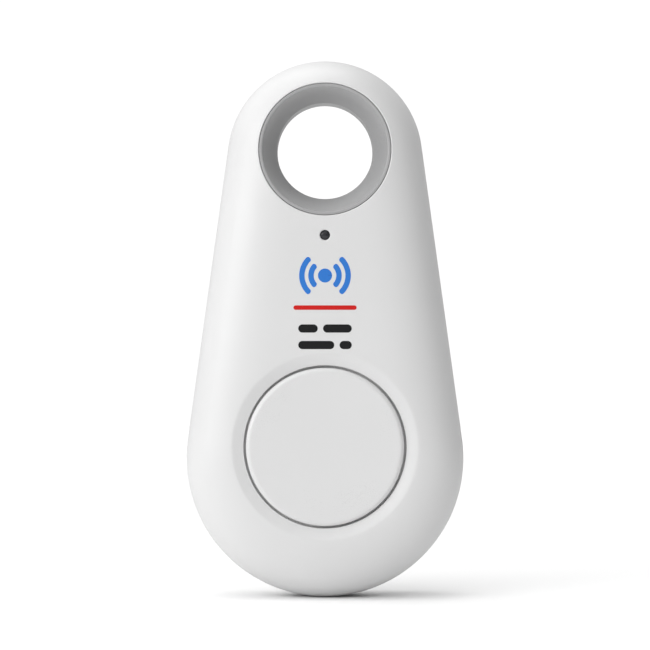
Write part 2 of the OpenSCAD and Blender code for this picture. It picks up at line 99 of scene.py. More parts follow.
@dataclass
class Skin:
    """Grids of points that are welded into one mesh.

    Attributes:
        name: the piece's name.
        grids: points and faces gathered so far, as (points, quads).
    """

    name: str
    grids: list[tuple[Array, Array]] = field(default_factory=list)

    def add(self, grid: Array, towards: Triple | None = None, closed_u: bool = True,
            closed_v: bool = False) -> None:
        """Adds a grid of points in mm.

        Args:
            grid: an array of shape (rows, columns, 3).
            towards: the side that most of the surface faces, used to turn its faces outwards.
                Without it the grid encloses a volume, and the volume's sign is used.
            closed_u: whether the last row joins the first.
            closed_v: whether the last column joins the first.
        """
        rows, cols = grid.shape[:2]
        index = np.arange(rows * cols).reshape(rows, cols)
        if closed_u:
            index = np.vstack([index, index[:1]])
        if closed_v:
            index = np.hstack([index, index[:, :1]])
        quads = np.stack([index[:-1, :-1], index[1:, :-1], index[1:, 1:], index[:-1, 1:]], -1)
        points, quads = grid.reshape(-1, 3), quads.reshape(-1, 4)
        a, b, c, d = (points[quads[:, k]] for k in range(4))
        area = np.cross(c - a, d - b)
        sign = np.sum(area @ np.array(towards)) if towards else np.sum(area * (a + b + c + d))
        self.grids.append((points, quads if sign >= 0 else quads[:, ::-1]))

    def add_faces(self, points: Array, triangles: Array) -> None:
        """Adds triangles, held as quads with a repeated corner."""
        self.grids.append((points, np.hstack([triangles, triangles[:, 2:]])))

    def weld(self) -> tuple[Array, Array, Array]:
        """Joins points that round to the same place, and drops faces that shrink to a line.

        Returns:
            The points, the quads, and the triangles left by quads with one doubled corner.
        """
        starts = np.cumsum([0] + [len(p) for p, _ in self.grids])
        points = np.vstack([p for p, _ in self.grids])
        quads = np.vstack([q + s for (_, q), s in zip(self.grids, starts, strict=False)])
        _, first, inverse = np.unique(np.round(points, WELD_DIGITS), axis=0, return_index=True,
                                      return_inverse=True)
        quads = inverse.reshape(-1)[quads]
        doubled = quads == np.roll(quads, -1, axis=1)
        count = doubled.sum(1)
        order = (np.argmax(doubled[count == 1], 1)[:, None] + np.arange(1, 4)) % 4
        thirds = np.take_along_axis(quads[count == 1], order, 1)
        return points[first], quads[count == 0], thirds

    def build(self, body: Body | None, sharp_deg: float = 35.0) -> Piece:
        """Makes the mesh and lets it ride on a body.

        Args:
            body: the CAD body it moves with, or None for one that bends or stands still.
            sharp_deg: edges that turn by more than this are drawn sharp.

        Returns:
            The new object.
        """
        points, quads, thirds = self.weld()
        corners = np.concatenate([quads.ravel(), thirds.ravel()])
        sizes = np.repeat([4, 3], [len(quads), len(thirds)])
        mesh = bpy.data.meshes.new(self.name)
        mesh.vertices.add(len(points))
        mesh.vertices.foreach_set("co", (points * MM).astype(np.float32).ravel())
        mesh.loops.add(len(corners))
        mesh.loops.foreach_set("vertex_index", corners.astype(np.int32))
        mesh.polygons.add(len(sizes))
        mesh.polygons.foreach_set("loop_start", (np.cumsum(sizes) - sizes).astype(np.int32))
        mesh.update(calc_edges=True)
        mesh.validate()
        mesh.shade_smooth()
        mesh.set_sharp_from_angle(angle=math.radians(sharp_deg))
        piece = bpy.data.objects.new(self.name, mesh)
        bpy.context.scene.collection.objects.link(piece)
        if body:
            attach(piece, body.value)
        return piece


def plan_to_space(x: Array, z: Array, y: Array) -> Array:
    """Stacks plan and depth coordinates into points."""
    return np.stack(np.broadcast_arrays(x, y, z), -1)


def spun(radius: Array, depth: Array, centre_z: float, count: int = ROUND_STEPS) -> Array:
    """A profile turned about an axis along Y: x = r cos a, z = centre + r sin a, y = depth.

    Args:
        radius: radii along the profile.
        depth: the depth at each radius.
        centre_z: where the axis stands.
        count: how many steps round.

    Returns:
        A grid with one row for each step round, to be closed along its rows.
    """
    a = np.linspace(0, 2 * math.pi, count, endpoint=False)[:, None]
    return plan_to_space(radius * np.cos(a), centre_z + radius * np.sin(a), depth + 0 * a)


def arc(centre: Pair, radius: float, start: float, end: float, steps: int) -> Array:
    """Points on a circle of a profile plane, from one angle to another, in degrees."""
    a = np.radians(np.linspace(start, end, steps))
    return np.stack([centre[0] + radius * np.cos(a), centre[1] + radius * np.sin(a)], -1)


def straight(start: Pair, end: Pair, steps: int, power: float) -> Array:
    """Points along a line without its last one, closer together near its start if power > 1."""
    t = (np.linspace(0, 1, steps, endpoint=False) ** power)[:, None]
    return np.array(start) * (1 - t) + np.array(end) * t


def spokes(border: Array, centre: Pair, radius: float, shares: Array) -> tuple[Array, Array]:
    """Straight lines from a circle out to a border that can be seen from the circle's centre.

    Each line leaves the circle at the angle of the border's point, and its points divide it
    by the given shares.

    Args:
        border: plan points (n, 2) in order.
        centre: the circle's centre in plan.
        radius: the circle's radius.
        shares: places along each line, 0 on the circle and 1 on the border.

    Returns:
        The plan coordinates x and z, each of shape (points of the border, shares).
    """
    off = border - np.array(centre)
    start = radius * off / np.linalg.norm(off, axis=1, keepdims=True)
    line = start[:, None] + shares[None, :, None] * (off - start)[:, None]
    return line[..., 0] + centre[0], line[..., 1] + centre[1]


def carry_over(skin: Skin, node: str, covered: Callable[[Array], Array]) -> None:
    """Adds to a skin the faces of a CAD node that the skin does not cover.

    Args:
        skin: the mesh that the faces are added to.
        node: the CAD node's name.
        covered: tells which face centres (n, 3) the skin stands in for.
    """
    mesh = bpy.data.objects[node].data
    mesh.calc_loop_triangles()
    points = np.empty(len(mesh.vertices) * 3, np.float32)
    mesh.vertices.foreach_get("co", points)
    corners = np.empty(len(mesh.loop_triangles) * 3, np.int32)
    mesh.loop_triangles.foreach_get("vertices", corners)
    points, corners = points.reshape(-1, 3).astype(float) / MM, corners.reshape(-1, 3)
    skin.add_faces(points, corners[~covered(points[corners].mean(1))])


# ---------------------------------------------------------------- the case's shape


@dataclass(frozen=True)
class CaseShape:
    """The case's outline and the crowned section of its two faces, in mm.

    Attributes:
        crown_r: radius of the narrow end.
        foot_r: radius of the wide end.
        crown_z: centre of the narrow end.
        foot_z: centre of the wide end.
        half_t: half the thickness.
        land: half the height of the straight band of wall at the seam.
        roll: how far in from the edge the face goes on curving.
        roll_power: how quickly the curve flattens.
        button_z: where the button stands.
        dish_r: radius of the dish round the button.
        dish_depth: depth of the dish.
        dish_run: width of the slope down into it.
        dish_soft: how softly the slope starts at its outer edge.
        dish_floor: share of the slope at which it stops.
        steps: points on half the foot, a flank and half the crown.
    """

    crown_r: float = 10.2
    foot_r: float = 14.5
    crown_z: float = -0.75
    foot_z: float = -32.05
    half_t: float = 5.72
    land: float = 0.75
    roll: float = 8.5
    roll_power: float = 3.3
    button_z: float = -30.7
    dish_r: float = 9.6
    dish_depth: float = 0.5
    dish_run: float = 1.25
    dish_soft: float = 0.012
    dish_floor: float = 1.04
    steps: tuple[int, int, int] = (150, 44, 120)

    @property
    def tilt(self) -> float:
        """The flanks' lean from upright, in radians."""
        return math.asin((self.foot_r - self.crown_r) / (self.crown_z - self.foot_z))

    @property
    def flank(self) -> float:
        """Length of each straight flank."""
        return (self.crown_z - self.foot_z) * math.cos(self.tilt)

    def inset(self, x: Array, z: Array) -> Array:
        """How far plan points lie inside the outline.

        Beside a flank it is the flank's distance, and past the flank's ends it is the distance
        from the end's circle.

        Args:
            x: plan coordinates across the tag.
            z: plan coordinates up the tag.

        Returns:
            The distance at each point.
        """
        x, dz = np.abs(x), z - self.foot_z
        along = dz * math.cos(self.tilt) - x * math.sin(self.tilt)
        across = x * math.cos(self.tilt) + dz * math.sin(self.tilt)
        low = self.foot_r - np.hypot(x, dz)
        high = self.crown_r - np.hypot(x, z - self.crown_z)
        return np.where(along < 0, low, np.where(along > self.flank, high, self.foot_r - across))

    def rise(self, inset: Array) -> Array:
        """Height of a face above the middle plane.

        The section is land + (half_t - land) * sqrt(1 - (1 - inset / roll) ** roll_power): a
        quarter of a superellipse, which is upright at the edge and flattens slowly inwards.
        """
        u = np.clip(inset / self.roll, 0, 1)
        return self.land + (self.half_t - self.land) * np.sqrt(1 - (1 - u) ** self.roll_power)

    def face(self, x: Array, z: Array, side: Side) -> Array:
        """Depth of a face at plan points. The front's face dips towards the button.

        The dip is a soft ramp: half of s + sqrt(s * s + e), where s runs from 0 at the dish's
        outer edge to 1 at its foot.

        Args:
            x: plan coordinates across the tag.
            z: plan coordinates up the tag.
            side: which face.

        Returns:
            The depth at each point.
        """
        high = self.rise(self.inset(x, z))
        if side is Side.FRONT:
            s = (self.dish_r - np.hypot(x, z - self.button_z)) / self.dish_run
            ramp = (s + np.sqrt(s * s + self.dish_soft)) / 2
            high = high - self.dish_depth * np.clip(ramp, 0, self.dish_floor)
        return high * side.value

    def rim(self, mark: float, mark_inset: float) -> tuple[Array, Array]:
        """Points round the outline from the foot up the right side, over and down the left.

        Args:
            mark: a height that each flank has a point at, once moved in by mark_inset.
            mark_inset: the inset at which that height is met.

        Returns:
            The points (n, 2) and their outward normals (n, 2).
        """
        t = self.tilt
        low = np.linspace(-math.pi / 2, t, self.steps[0])
        high = np.linspace(t, math.pi / 2, self.steps[2])
        along = np.linspace(0, self.flank, self.steps[1])[1:-1]
        met = (mark - self.foot_z - (self.foot_r - mark_inset) * math.sin(t)) / math.cos(t)
        along[np.argmin(np.abs(along - met))] = met
        n_flank = np.tile([math.cos(t), math.sin(t)], (len(along), 1))
        p_flank = (np.array([0, self.foot_z]) + self.foot_r * n_flank
                   + along[:, None] * np.array([-math.sin(t), math.cos(t)]))
        n_low, n_high = (np.stack([np.cos(a), np.sin(a)], -1) for a in (low, high))
        p_low = np.array([0, self.foot_z]) + self.foot_r * n_low
        p_high = np.array([0, self.crown_z]) + self.crown_r * n_high
        points = np.vstack([p_low, p_flank, p_high])
        normals = np.vstack([n_low, n_flank, n_high])
        points[[0, -1], 0], normals[[0, -1], 0] = 0, 0
        flip = np.array([-1, 1])
        return (np.vstack([points, points[-2:0:-1] * flip]),
                np.vstack([normals, normals[-2:0:-1] * flip]))


# ---------------------------------------------------------------- shells


@dataclass(frozen=True)
class Hole:
    """A round hole through a shell, in mm.

    Attributes:
        x: its centre across the tag.
        z: its centre up the tag.
        radius: radius of its wall.
        fillet: radius that softens its edge.
        deep: the depth that its wall runs in to.
        near: how close to the wall a point counts as on it.
    """

    x: float
    z: float
    radius: float
    fillet: float
    deep: float
    near: float = 0.04

    def on_wall(self, at: Array, past: float) -> Array:
        """Whether points lie on the hole's wall, further from the middle plane than a depth."""
        away = np.hypot(at[:, 0] - self.x, at[:, 2] - self.z)
        return (np.abs(away - self.radius) < self.near) & (np.abs(at[:, 1]) > past)


@dataclass(frozen=True)
class CoinSlot:
    """Half of the shallow slot at the foot, where a coin pries the halves apart, in mm.

    Attributes:
        half_w: half its width.
        end_run: length of the slope at each end.
        height: how far it runs from the middle plane.
        edge_run: height of the slope at its edge.
        deep: how far it is pressed in.
    """

    half_w: float = 3.2
    end_run: float = 0.25
    height: float = 0.5
    edge_run: float = 0.08
    deep: float = 0.5


@dataclass
class Shell:
    """What the two halves of the case share: a rolled edge, and a patch round the liner.

    Attributes:
        shape: the case's shape.
        side: which half this is.
        split_z: the height at which the face's upper and lower patches meet.
        liner: the hole for the liner.
        slot: the coin slot.
        edge_inset: where the edge band ends and the patches of the face begin.
        rings: rings of points between the liner and the border, and how they gather inwards.
        seam: half the gap between the two halves.
        lip: insets between which the band at the seam is flat.
        corner: radius that softens the seam's corner.
        wall_y: where the straight wall has its first row of points.
        cad_roll: radius of the CAD case's edge.
        near: how close to the CAD's face a point counts as on it.
        cad_lip: inset and depth within which a point lies on the CAD's lip.
    """

    shape: CaseShape
    side: Side
    split_z: float
    liner: Hole
    slot: CoinSlot = field(default_factory=CoinSlot)
    edge_inset: float = 1.9
    rings: tuple[int, float] = (22, 1.25)
    seam: float = 0.05
    lip: Pair = (0.64, 0.3)
    corner: float = 0.12
    wall_y: float = 0.45
    cad_roll: float = 5.0
    near: float = 0.06
    cad_lip: Pair = (0.66, 0.08)

    def __post_init__(self) -> None:
        """Lays out the rim's points once, with one on each flank at the patches' meeting."""
        self.points, self.normals = self.shape.rim(self.split_z, self.edge_inset)

    @property
    def facing(self) -> Triple:
        """The direction that this half's face looks in."""
        return (0.0, self.side.value, 0.0)

    def edge_band(self) -> Array:
        """The seam's flat lip, its softened corner, the straight wall and the rolled edge.

        Each point of the outline is carried inwards along its normal by the section's inset,
        and in depth by the section's rise. The coin slot is pressed into the foot.

        Returns:
            A grid with one row for each point of the outline.
        """
        head = np.array([[inset, self.seam] for inset in self.lip])
        corner = arc((self.corner, self.seam + self.corner), self.corner, 270, 180, 6)
        wall = np.array([[0, self.wall_y], [0, self.shape.land]])
        inset = self.edge_inset * np.linspace(0, 1, 26)[1:] ** 2
        roll = np.stack([inset, self.shape.rise(inset)], -1)
        section = np.vstack([head, corner, wall, roll])
        depth_in, depth_out = section[None, :, 0], section[None, :, 1]
        slot, x, z = self.slot, self.points[:, :1], self.points[:, 1:]
        across = np.clip((slot.half_w - np.abs(x)) / slot.end_run, 0, 1)
        across = across * (z < self.shape.foot_z)
        pressed = slot.deep * across * np.clip((slot.height - depth_out) / slot.edge_run, 0, 1)
        inwards = np.maximum(depth_in, pressed)
        plan = self.points[:, None] - inwards[..., None] * self.normals[:, None]
        return plan_to_space(plan[..., 0], plan[..., 1], self.side.value * depth_out)

    def border(self, upper: bool) -> Array:
        """The edge band's inner border above or below the split, anticlockwise.

        Args:
            upper: whether it is the part above the split.

        Returns:
            Plan points (n, 2), from one flank at the split to the other.
        """
        inner = self.points - self.edge_inset * self.normals
        over, tiny = inner[:, 1] - self.split_z, 1e-6
        if upper:
            return inner[over > -tiny]
        index = np.flatnonzero(over < tiny)
        gap = np.flatnonzero(np.diff(index) > 1)[0] + 1
        return inner[np.roll(index, -gap)]

    def hole_wall(self, x: Array, z: Array, hole: Hole) -> Array:
        """A hole's wall and softened edge, met by the face's first ring of points.

        The quarter circle runs from the face at radius + fillet to the wall at radius, and the
        wall goes on inwards to its depth.

        Args:
            x: the first ring's coordinates across the tag.
            z: the first ring's coordinates up the tag.
            hole: the hole.

        Returns:
            A grid with one row for each point of the ring, from the wall's inner end outwards.
        """
        centre = np.array([hole.x, hole.z])
        away = np.stack([x, z], -1) - centre
        away /= np.linalg.norm(away, axis=-1, keepdims=True)
        turn = np.linspace(math.pi / 2, 0, 7)[None, :]
        r = np.hstack([[[hole.radius]], hole.radius + hole.fillet * (1 - np.sin(turn))])
        y = self.shape.face(x, z, self.side)[:, None]
        y = y - self.side.value * hole.fillet * (1 - np.cos(turn))
        y = np.hstack([np.full((len(x), 1), self.side.value * hole.deep), y])
        plan = centre + r[..., None] * away[:, None]
        return plan_to_space(plan[..., 0], plan[..., 1], y)

    def pierced(self, x: Array, z: Array, hole: Hole) -> Array:
        """Lays plan points on the face, and joins a hole's wall to the first of each row.

        Args:
            x: coordinates across the tag, one row for each step round the hole.
            z: coordinates up the tag.
            hole: the hole.

        Returns:
            A grid to be closed along its rows.
        """
        top = plan_to_space(x, z, self.shape.face(x, z, self.side))
        return np.concatenate([self.hole_wall(x[:, 0], z[:, 0], hole)[:, :-1], top], 1)

    def patch(self, border: Array, hole: Hole, shares: Array) -> Array:
        """The face between a hole and a border, with the hole's wall."""
        return self.pierced(*spokes(border, (hole.x, hole.z), hole.radius + hole.fillet, shares),
                            hole)

    def liner_patch(self, border: Array) -> Array:
        """The face between the liner and a border, in rings that lie closer near the liner."""
        count, power = self.rings
        return self.patch(border, self.liner, np.linspace(0, 1, count) ** power)

    def covered(self, at: Array) -> Array:
        """Finds what the CAD's outer face and lip hold, which this shell stands in for.

        Args:
            at: points (n, 3) in mm.

        Returns:
            Whether each point lies on the outer face, the lip or the outer part of the
            liner's hole.
        """
        inset, y = self.shape.inset(at[:, 0], at[:, 2]), np.abs(at[:, 1])
        short = self.cad_roll - np.clip(inset, 0, self.cad_roll)
        outer = self.shape.land + np.sqrt(self.cad_roll ** 2 - short ** 2)
        face = (y > outer - self.near) | (inset < self.near)
        lip = (y < self.cad_lip[1]) & (inset < self.cad_lip[0])
        return face | lip | self.liner.on_wall(at, self.liner.deep + 0.02)


@dataclass
class FrontShell(Shell):
    """The front half, with the button's hole in its dish and the status light's hole.

    Attributes:
        button: the button's hole.
        light: the status light's hole.
        light_edge: radius at which the patch round the light meets the others.
        split_steps: points along the split on each side of the light, and how they gather.
        ring_reach: how far past the dish the rings round the button go.
        cad_dish: radius and depth past which a point lies in the CAD's dish.
        cad_wall: depth past which the CAD's walls of the two holes are stood in for.
    """

    side: Side = Side.FRONT
    split_z: float = -8.88
    liner: Hole = Hole(0.0, 0.0, 6.85, 0.1, 0.6)
    button: Hole = Hole(0.0, -30.7, 8.4, 0.1, 4.35)
    light: Hole = Hole(0.0, -8.88, 0.525, 0.12, 4.35)
    light_edge: float = 0.66
    split_steps: tuple[int, float] = (34, 1.5)
    ring_reach: float = 0.7
    cad_dish: Pair = (9.72, 5.2)
    cad_wall: float = 4.4

    def light_notch(self, upper: bool) -> Array:
        """Half of the small circle round the light, from right to left above, or back below."""
        a = np.linspace(0, math.pi, 25) + (0 if upper else math.pi)
        return self.light_edge * np.stack([np.cos(a), np.sin(a)], -1) + [0, self.split_z]

    def loop(self, upper: bool) -> Array:
        """The closed border of the upper or the lower patch, round half of the light.

        Args:
            upper: whether it is the upper patch's.

        Returns:
            Plan points (n, 2) in order.
        """
        edge = self.border(upper)
        end, z = edge[-1][0], self.split_z
        near = math.copysign(self.light_edge, end)
        inwards = straight((near, z), (end, z), *self.split_steps)[:0:-1]
        outwards = straight((-near, z), (-end, z), *self.split_steps)[1:]
        return np.vstack([edge, inwards, self.light_notch(upper)[::-1], outwards])

    def button_patch(self) -> Array:
        """The dish's rings round the button's hole, then spokes out to the border.

        Returns:
            A grid to be closed along its rows.
        """
        hole, border = self.button, self.loop(False)
        centre, r0 = (hole.x, hole.z), hole.radius + hole.fillet
        r1 = self.shape.dish_r + self.ring_reach
        away = border - np.array(centre)
        away /= np.linalg.norm(away, axis=1, keepdims=True)
        radii = r0 + (r1 - r0) * np.linspace(0, 1, 22)
        x, z = spokes(border, centre, r1, np.linspace(0, 1, 40)[1:])
        x = np.hstack([hole.x + radii * away[:, :1], x])
        z = np.hstack([hole.z + radii * away[:, 1:], z])
        return self.pierced(x, z, hole)

    def build(self) -> Piece:
        """Makes the shell and stands it in for its CAD node.

        Returns:
            The new object.
        """
        skin = Skin("front_shell")
        ring = np.vstack([self.light_notch(True)[:-1], self.light_notch(False)[:-1]])
        for grid in (self.edge_band(), self.liner_patch(self.loop(True)), self.button_patch(),
                     self.patch(ring, self.light, np.linspace(0, 1, 3))):
            skin.add(grid, self.facing)
        carry_over(skin, "front_cover", self.covered)
        piece = skin.build(Body.CASE)
        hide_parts("front_cover")
        return piece

    def covered(self, at: Array) -> Array:
        """Finds the outer face, the dish and the walls of the button's and light's holes.

        Args:
            at: points (n, 3) in mm.

        Returns:
            Whether each point lies on one of them.
        """
        radius, past = self.cad_dish
        dish = (np.hypot(at[:, 0], at[:, 2] - self.button.z) < radius) & (at[:, 1] < -past)
        walls = self.button.on_wall(at, self.cad_wall) | self.light.on_wall(at, self.cad_wall)
        return super().covered(at) | dish | walls


@dataclass
class RearShell(Shell):
    """The rear half, with a cluster of sound holes under the liner.

    Attributes:
        cluster_z: where the cluster stands.
        cluster_r: radius of the patch that holds it.
        inner_r: radius of the disc round the middle hole.
        ring_r: radius that the other six stand on.
        hole_r: radius of each hole.
        fillet: radius that softens each hole's edge.
        deep: the depth that each hole's wall runs in to.
        sector_steps: points along the arcs of each hole's sector.
    """

    side: Side = Side.REAR
    split_z: float = -9.3
    liner: Hole = Hole(0.0, 0.0, 6.9, 0.1, 0.6)
    cluster_z: float = -14.6
    cluster_r: float = 2.9
    inner_r: float = 0.95
    ring_r: float = 1.9
    hole_r: float = 0.45
    fillet: float = 0.08
    deep: float = 4.45
    sector_steps: int = 12

    def split_line(self, leftwards: bool) -> Array:
        """Points along the split from one flank to the other, without the two end points.

        Args:
            leftwards: whether they run from right to left.

        Returns:
            Plan points (n, 2) in order.
        """
        end = self.border(True)[0][0]
        x = np.linspace(end, -end, 61)[1:-1]
        line = np.stack([x, np.full_like(x, self.split_z)], -1)
        return line if leftwards else line[::-1]

    def sound_hole(self, border: Array, x: float, z: float) -> Array:
        """One sound hole in a small patch, its place given from the cluster's middle."""
        hole = Hole(x, self.cluster_z + z, self.hole_r, self.fillet, self.deep)
        return self.patch(border + [0, self.cluster_z], hole, np.linspace(0, 1, 5))

    def cluster(self) -> list[Array]:
        """Six holes each in a sector of a ring, and a hole in the small disc inside it.

        Each sector's border goes up one side, along the outer arc, down the other side and back
        along the inner arc, and spokes run from its hole to that border.

        Returns:
            The grids, one for each hole.
        """
        grids, steps, sector = [], self.sector_steps, math.pi / 3
        side = self.inner_r + (self.cluster_r - self.inner_r) * np.linspace(0, 1, 9)[:, None]
        for k in range(6):
            mid = math.pi / 2 + k * sector
            a = mid - sector / 2 + np.linspace(0, sector, steps + 1)
            ring = np.stack([np.cos(a), np.sin(a)], -1)
            border = np.vstack([side[:-1] * ring[0], self.cluster_r * ring[:-1],
                                side[:0:-1] * ring[-1], self.inner_r * ring[:0:-1]])
            grids.append(self.sound_hole(border, self.ring_r * math.cos(mid),
                                         self.ring_r * math.sin(mid)))
        a = sector + np.arange(6 * steps) * sector / steps
        disc = self.inner_r * np.stack([np.cos(a), np.sin(a)], -1)
        return [*grids, self.sound_hole(disc, 0.0, 0.0)]

    def build(self) -> Piece:
        """Makes the shell and stands it in for its CAD node.

        Returns:
            The new object.
        """
        skin = Skin("rear_shell")
        upper = np.vstack([self.border(True), self.split_line(False)])
        lower = np.vstack([self.border(False), self.split_line(True)])
        x, z = spokes(lower, (0.0, self.cluster_z), self.cluster_r, np.linspace(0, 1, 56))
        plain = plan_to_space(x, z, self.shape.face(x, z, self.side))
        for grid in (self.edge_band(), self.liner_patch(upper), plain, *self.cluster()):
            skin.add(grid, self.facing)
        carry_over(skin, "rear_cover", self.covered)
        piece = skin.build(Body.REAR_SHELL)
        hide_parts("rear_cover")
        return piece

    def covered(self, at: Array) -> Array:
        """Finds the outer face and the walls of the sound holes, by their outermost circle.

        Args:
            at: points (n, 3) in mm.

        Returns:
            Whether each point lies on one of them.
        """
        reach = self.ring_r + self.hole_r + 0.03
        holes = np.hypot(at[:, 0], at[:, 2] - self.cluster_z) < reach
        return super().covered(at) | (holes & (at[:, 1] > self.deep + 0.05))


# ---------------------------------------------------------------- liner and button


@dataclass
class Liner:
    """The grey eyelet in the key-ring hole, whose rims follow the case's faces.

    Attributes:
        shape: the case's shape.
        throat_r: radius of the bore.
        outer_r: radius of the outer wall.
        collar: radius and half length of the collar that the shells clamp.
        throat_half: half the length of the straight throat.
        throat_back: how far short of that the rounding of its end begins.
        slopes: the bowl's slope in degrees where it leaves the throat and at its mouth.
        rim_w: width of each rim.
        edges: radii that round the throat's end, the mouth and the rim's outer edge.
        sunk: how far each rim lies below the case's face.
        sharp_deg: edges that turn by more than this are drawn sharp.
    """

    shape: CaseShape
    throat_r: float = 5.0
    outer_r: float = 6.8
    collar: Pair = (7.5, 0.5)
    throat_half: float = 2.0
    throat_back: float = 0.1
    slopes: Pair = (54.0, 81.0)
    rim_w: float = 0.38
    edges: Triple = (0.2, 0.2, 0.06)
    sunk: float = 0.07
    sharp_deg: float = 50.0

    def half(self, side: Side, turn: Array) -> tuple[Array, Array]:
        """One side's profile from the throat out to the middle of the outer wall.

        The bowl is an arc whose slope a grows from the throat to the mouth: its radius follows
        sin a and its depth follows cos a. The depth is stretched round the liner, so that the
        rim stays at one level below the case. Smaller arcs round the edges.

        Args:
            side: which side.
            turn: the angles round the liner.

        Returns:
            Radii (profile) and depths (steps round, profile).
        """
        low, high = (math.radians(a) for a in self.slopes)
        end, mouth, edge = self.edges
        x, z = (self.outer_r * f(turn) for f in (np.cos, np.sin))
        top = (np.abs(self.shape.face(x, z, side)) - self.sunk)[:, None]
        a = np.linspace(math.pi / 2, low, 8)[None, :]
        r0 = self.throat_r + end * (1 - np.sin(a))
        y0 = self.throat_half - self.throat_back + end * np.cos(a)
        a = np.linspace(low, high, 30)[None, 1:]
        share_r = (np.sin(a) - math.sin(low)) / (math.sin(high) - math.sin(low))
        share_y = (math.cos(low) - np.cos(a)) / (math.cos(low) - math.cos(high))
        lip_r, lip_y = self.outer_r - self.rim_w, top - mouth * (1 - math.cos(high))
        r1 = r0[:, -1:] + (lip_r - r0[:, -1:]) * share_r
        y1 = y0[:, -1:] + (lip_y - y0[:, -1:]) * share_y
        a = np.linspace(high, 0, 10)[None, 1:]
        r2 = lip_r + mouth * (math.sin(high) - np.sin(a))
        y2 = lip_y + mouth * (np.cos(a) - math.cos(high))
        a = np.linspace(0, math.pi / 2, 6)[None, :]
        r3, y3 = self.outer_r - edge * (1 - np.sin(a)), top - edge * (1 - np.cos(a))
        level = np.ones_like(top)
        wide, deep = self.collar
        r = np.hstack([[[self.throat_r]], r0, r1, r2, r3, [[self.outer_r, wide]]])[0]
        y = np.hstack([deep * level, y0 * level, y1, y2, y3, deep * level, deep * level])
        return r, y * side.value

    def build(self) -> Piece:
        """Makes the closed ring and stands it in for its CAD node.

        Returns:
            The new object.
        """
        turn = np.linspace(0, 2 * math.pi, ROUND_STEPS, endpoint=False)
        r_front, y_front = self.half(Side.FRONT, turn)
        r_rear, y_rear = self.half(Side.REAR, turn)
        r = np.concatenate([r_front, r_rear[::-1]])
        skin = Skin("ring_eyelet")
        skin.add(spun(r, np.hstack([y_front, y_rear[:, ::-1]]), 0.0), closed_v=True)
        piece = skin.build(Body.CASE, self.sharp_deg)
        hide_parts("ring_liner")
        return piece


@dataclass
class Button:
    """The round push button, whose face is slightly hollow.

    Attributes:
        shape: the case's shape.
        radius: radius of its face.
        rim_y: depth of the rim of its face.
        hollow: how far the middle lies below the rim.
        edge: radius that rounds the face into the skirt.
        skirt_y: depth of the flange that the skirt runs down to.
        cad_face_y: depth past which a point lies on the CAD's face or edge.
        sharp_deg: edges that turn by more than this are drawn sharp.
    """

    shape: CaseShape
    radius: float = 8.15
    rim_y: float = -5.68
    hollow: float = 0.17
    edge: float = 0.45
    skirt_y: float = -4.3
    cad_face_y: float = -4.9
    sharp_deg: float = 40.0

    def profile(self) -> Array:
        """Radius and depth from the middle of the face out and down the skirt.

        The face is the parabola rim + hollow * (1 - (r / flat) ** 2) up to the rounded edge.

        Returns:
            Points (n, 2).
        """
        flat = self.radius - self.edge
        r = np.linspace(0, flat, 40)
        face = np.stack([r, self.rim_y + self.hollow * (1 - (r / flat) ** 2)], -1)
        corner = arc((flat, self.rim_y + self.edge), self.edge, 270, 360, 10)[1:]
        return np.vstack([face, corner, [[self.radius, self.skirt_y]]])

    def covered(self, at: Array) -> Array:
        """Whether points lie on the CAD's face, edge or skirt."""
        r, y = np.hypot(at[:, 0], at[:, 2] - self.shape.button_z), at[:, 1]
        return (y < self.cad_face_y) | ((r > self.radius - 0.1) & (y < self.skirt_y - 0.01))

    def build(self) -> Piece:
        """Makes the cap, with the CAD's flange and ribs behind it, and replaces its CAD node.

        Returns:
            The new object.
        """
        skin = Skin("push_button")
        skin.add(spun(*self.profile().T, self.shape.button_z), FRONTWARDS)
        carry_over(skin, "button_cap", self.covered)
        piece = skin.build(Body.BUTTON, self.sharp_deg)
        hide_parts("button_cap")
        return piece


@dataclass
class StatusLight:
    """The smoked light pipe, a domed pin a little below the face.

    Attributes:
        centre_z: where it stands.
        radius: radius of the pin.
        tip_y: depth of the dome's middle.
        dome: width of the dome's edge, its fall and its edge's depth, from the tip.
        flange: radius of the flange that holds it, and the depths it runs between.
        end_y: depth of its inner end.
        steps: steps round.
    """

    centre_z: float = -8.88
    radius: float = 0.505
    tip_y: float = -5.55
    dome: Triple = (0.06, 0.12, 0.16)
    flange: Triple = (0.725, -4.33, -3.75)
    end_y: float = -1.7
    steps: int = 48

    def build(self) -> Piece:
        """Makes the pin and stands it in for its CAD node. Its tip is a shallow parabola.

        Returns:
            The new object.
        """
        edge, fall, shoulder = self.dome
        wide, top, low = self.flange
        r = np.linspace(0, self.radius - edge, 10)
        tip = np.stack([r, self.tip_y + fall * (r / self.radius) ** 2], -1)
        line = np.vstack([tip, [[self.radius, self.tip_y + shoulder], [self.radius, top],
                                [wide, top], [wide, low], [self.radius, low],
                                [self.radius, self.end_y], [0, self.end_y]]])
        skin = Skin("light_pin")
        skin.add(spun(*line.T, self.centre_z, self.steps))
        piece = skin.build(Body.CASE)
        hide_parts("light_pipe")
        return piece


